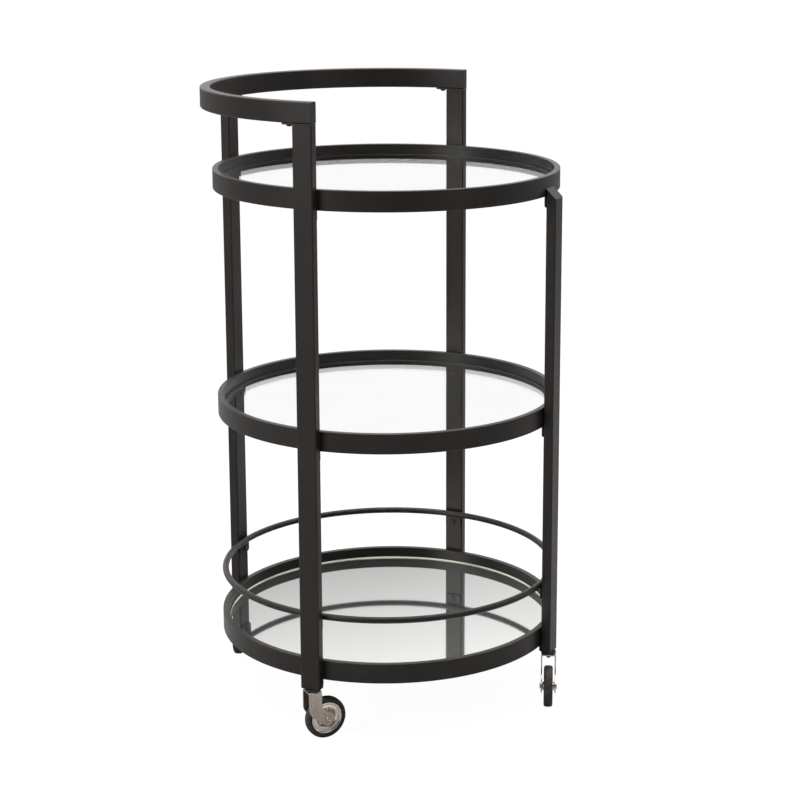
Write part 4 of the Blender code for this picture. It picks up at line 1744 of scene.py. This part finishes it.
    def build_socket(self) -> None:
        """Moulds the socket in the post's foot, with the round collar under the tube."""
        foot, top = (corner.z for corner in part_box(Place.RIGHT.node("caster_socket")))
        post_low, post_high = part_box(Place.RIGHT.node("post"))
        inset = Tube.WALL + self.contact_gap
        middle = (post_low + post_high) / 2
        collar_top = post_low.z - self.contact_gap
        block = Workpiece.block(
            self.place.piece("caster_socket"),
            (post_low.x + inset, post_low.y + inset, collar_top - self.socket_overlap),
            (post_high.x - inset, post_high.y - inset, top),
        )
        block.settle(Matrix.Translation((-middle.x, 0.0, 0.0)))
        collar = Workpiece.disc("collar", self.collar_radius, (foot, collar_top), self.steps)
        collar.bevel(level_test(foot), 0.4 * MM, 3)
        block.combine(collar, "UNION")
        pin_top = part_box(self.place.node("king_pin"))[1].z
        heights = (foot - self.socket_overlap, pin_top + self.contact_gap)
        radius = self.pin_radius + self.running_gap
        block.combine(Workpiece.disc("bore", radius, heights, self.pin_steps), "DIFFERENCE")
        move = Matrix.Translation(self.pivot()) @ self.place.turn()
        self.put(block, "caster_socket", move, Slot.PLASTIC, self.finishes.plastic)

    def build(self) -> None:
        """Makes the six pieces of the caster."""
        self.build_socket()
        self.build_king_pin()
        self.build_fork()
        self.build_wheel()


# ------------------------------------------------------------------ studio


@dataclass(frozen=True)
class SoftBox:
    """A large soft lamp that looks at a point on the cart."""

    name: str
    at: Triple
    size: Span
    power: float
    colour: Colour = (1.0, 1.0, 1.0)
    target: Triple = (0.0, 0.0, 0.4)

    def build(self) -> None:
        """Adds the lamp."""
        data = bpy.data.lights.new(self.name, "AREA")
        data.shape = "RECTANGLE"
        data.size, data.size_y = self.size
        data.energy = self.power
        data.color = self.colour
        lamp = bpy.data.objects.new(self.name, data)
        bpy.context.scene.collection.objects.link(lamp)
        lamp.location = self.at
        way = Vector(self.target) - Vector(self.at)
        lamp.rotation_euler = way.to_track_quat("-Z", "Y").to_euler()


@dataclass(frozen=True)
class Studio:
    """A pale floor, a pale surround and soft lamps."""

    floor_radius: float = 60.0
    floor_shade: float = 0.06
    floor_glow: float = 0.97
    floor_bounce: float = 0.42
    surround_shown: float = 1.0
    surround: Span = (0.05, 1.05)
    surround_turn: Span = (-0.70, 0.35)
    back_direction: Triple = (0.88, 0.45, 0.15)
    WHITE = (1.0, 1.0, 1.0)
    LAMPS = (
        SoftBox("overhead_softbox", (0.2, 0.1, 3.0), (3.2, 3.2), 115.0),
        SoftBox(
            "left_softbox", (-2.7, 1.3, 1.5), (1.3, 1.5), 42.0, (1.0, 0.985, 0.96), (0.0, 0.0, 0.6)
        ),
        SoftBox(
            "front_fill", (-0.9, -2.3, 0.5), (0.7, 0.6), 1.3, (1.0, 0.98, 0.95), (-0.1, 0.0, 0.05)
        ),
    )

    @staticmethod
    def shown_ray(board: NodeBoard) -> Socket:
        """Gives 1 for rays that show the studio itself, straight or through clear glass."""
        path = board.add("ShaderNodeLightPath").outputs
        return board.math("MAXIMUM", path["Is Camera Ray"], path["Is Transmission Ray"])

    def build_floor(self) -> None:
        """Adds the plain pale floor."""
        Workpiece.clear_bench()
        bpy.ops.mesh.primitive_circle_add(
            vertices=96, radius=self.floor_radius, fill_type="NGON", location=(0, 0, 0)
        )
        floor = bpy.context.active_object
        floor.name = "studio_floor"
        material = bpy.data.materials.new("pale_floor")
        material.use_nodes = True
        board = NodeBoard(material.node_tree)
        bounce = board.add("ShaderNodeBsdfDiffuse", Color=(self.floor_bounce,) * 3)
        matt = board.add("ShaderNodeBsdfDiffuse", Color=(self.floor_shade,) * 3)
        glow = board.add("ShaderNodeEmission", Color=self.WHITE, Strength=self.floor_glow)
        shown = board.chain("ShaderNodeAddShader", matt.outputs[0], glow.outputs[0])
        share = self.shown_ray(board)
        mix = board.chain("ShaderNodeMixShader", share, bounce.outputs[0], shown.outputs[0])
        board.add("ShaderNodeOutputMaterial", Surface=mix.outputs[0])
        floor.data.materials.append(material)

    def build_surround(self) -> None:
        """Adds the surround: bright behind and above the cart, dim in front of it."""
        world = bpy.data.worlds.new("studio_surround")
        world.use_nodes = True
        bpy.context.scene.world = world
        board = NodeBoard(world.node_tree)
        way = board.add("ShaderNodeTexCoord").outputs["Generated"]
        backward = board.dot(way, Vector(self.back_direction).normalized())
        light = board.remap(backward, self.surround_turn, self.surround)
        node = board.tree.nodes.new("ShaderNodeMix")
        for index, value in ((0, self.shown_ray(board)), (2, light), (3, self.surround_shown)):
            board.feed(node.inputs[index], value)
        shader = board.add("ShaderNodeBackground", Color=self.WHITE, Strength=node.outputs[0])
        board.add("ShaderNodeOutputWorld", Surface=shader.outputs[0])

    def build(self) -> None:
        """Sets up the floor, the surround and the lamps."""
        self.build_floor()
        self.build_surround()
        for lamp in self.LAMPS:
            lamp.build()


@dataclass(frozen=True)
class View:
    """The camera."""

    distance: float = 2.3830
    height: float = 1.0052
    azimuth: float = -65.076
    pan: float = -2.177
    tilt: float = 12.491
    roll: float = 0.137
    lens: float = 86.56
    sensor: float = 36.0
    shift: Span = (-0.0739, -0.1000)
    clip: Span = (0.05, 200.0)

    def build(self) -> None:
        """Adds the camera and makes it the scene's own."""
        data = bpy.data.cameras.new("camera")
        data.lens = self.lens
        data.sensor_width = self.sensor
        data.shift_x, data.shift_y = self.shift
        data.clip_start, data.clip_end = self.clip
        camera = bpy.data.objects.new("camera", data)
        bpy.context.scene.collection.objects.link(camera)
        stand = math.radians(self.azimuth)
        facing = math.radians(self.azimuth + self.pan)
        tilt = math.radians(self.tilt)
        place = (self.distance * math.sin(stand), -self.distance * math.cos(stand), self.height)
        level = math.cos(tilt)
        back = Vector((math.sin(facing) * level, -math.cos(facing) * level, math.sin(tilt)))
        right = Vector((math.cos(facing), math.sin(facing), 0.0))
        turn = Matrix((right, back.cross(right), back)).transposed().to_4x4()
        roll = Matrix.Rotation(math.radians(self.roll), 4, "Z")
        camera.matrix_world = Matrix.Translation(place) @ turn @ roll
        scene = bpy.context.scene
        scene.camera = camera
        scene.view_settings.view_transform = "Standard"
        scene.view_settings.look = "None"


# ------------------------------------------------------------------ the whole cart


def main() -> None:
    """Builds every sub-assembly of the cart, then the studio around it."""
    logging.basicConfig(level=logging.INFO, format="%(name)s: %(message)s")
    finishes = Finishes()
    parts = (
        *[ShelfRing(finishes, shelf) for shelf in Shelf],
        GalleryRail(finishes),
        MirrorPane(finishes, Shelf.BOTTOM),
        Pane(finishes, Shelf.MIDDLE),
        Pane(finishes, Shelf.TOP),
        Posts(finishes),
        Handle(finishes),
        TonguePlates(finishes),
        PanHeadScrews(finishes),
        *[Caster(finishes, place) for place in Place],
        Studio(),
        View(),
    )
    for part in parts:
        part.build()


if __name__ == "__main__":
    main()
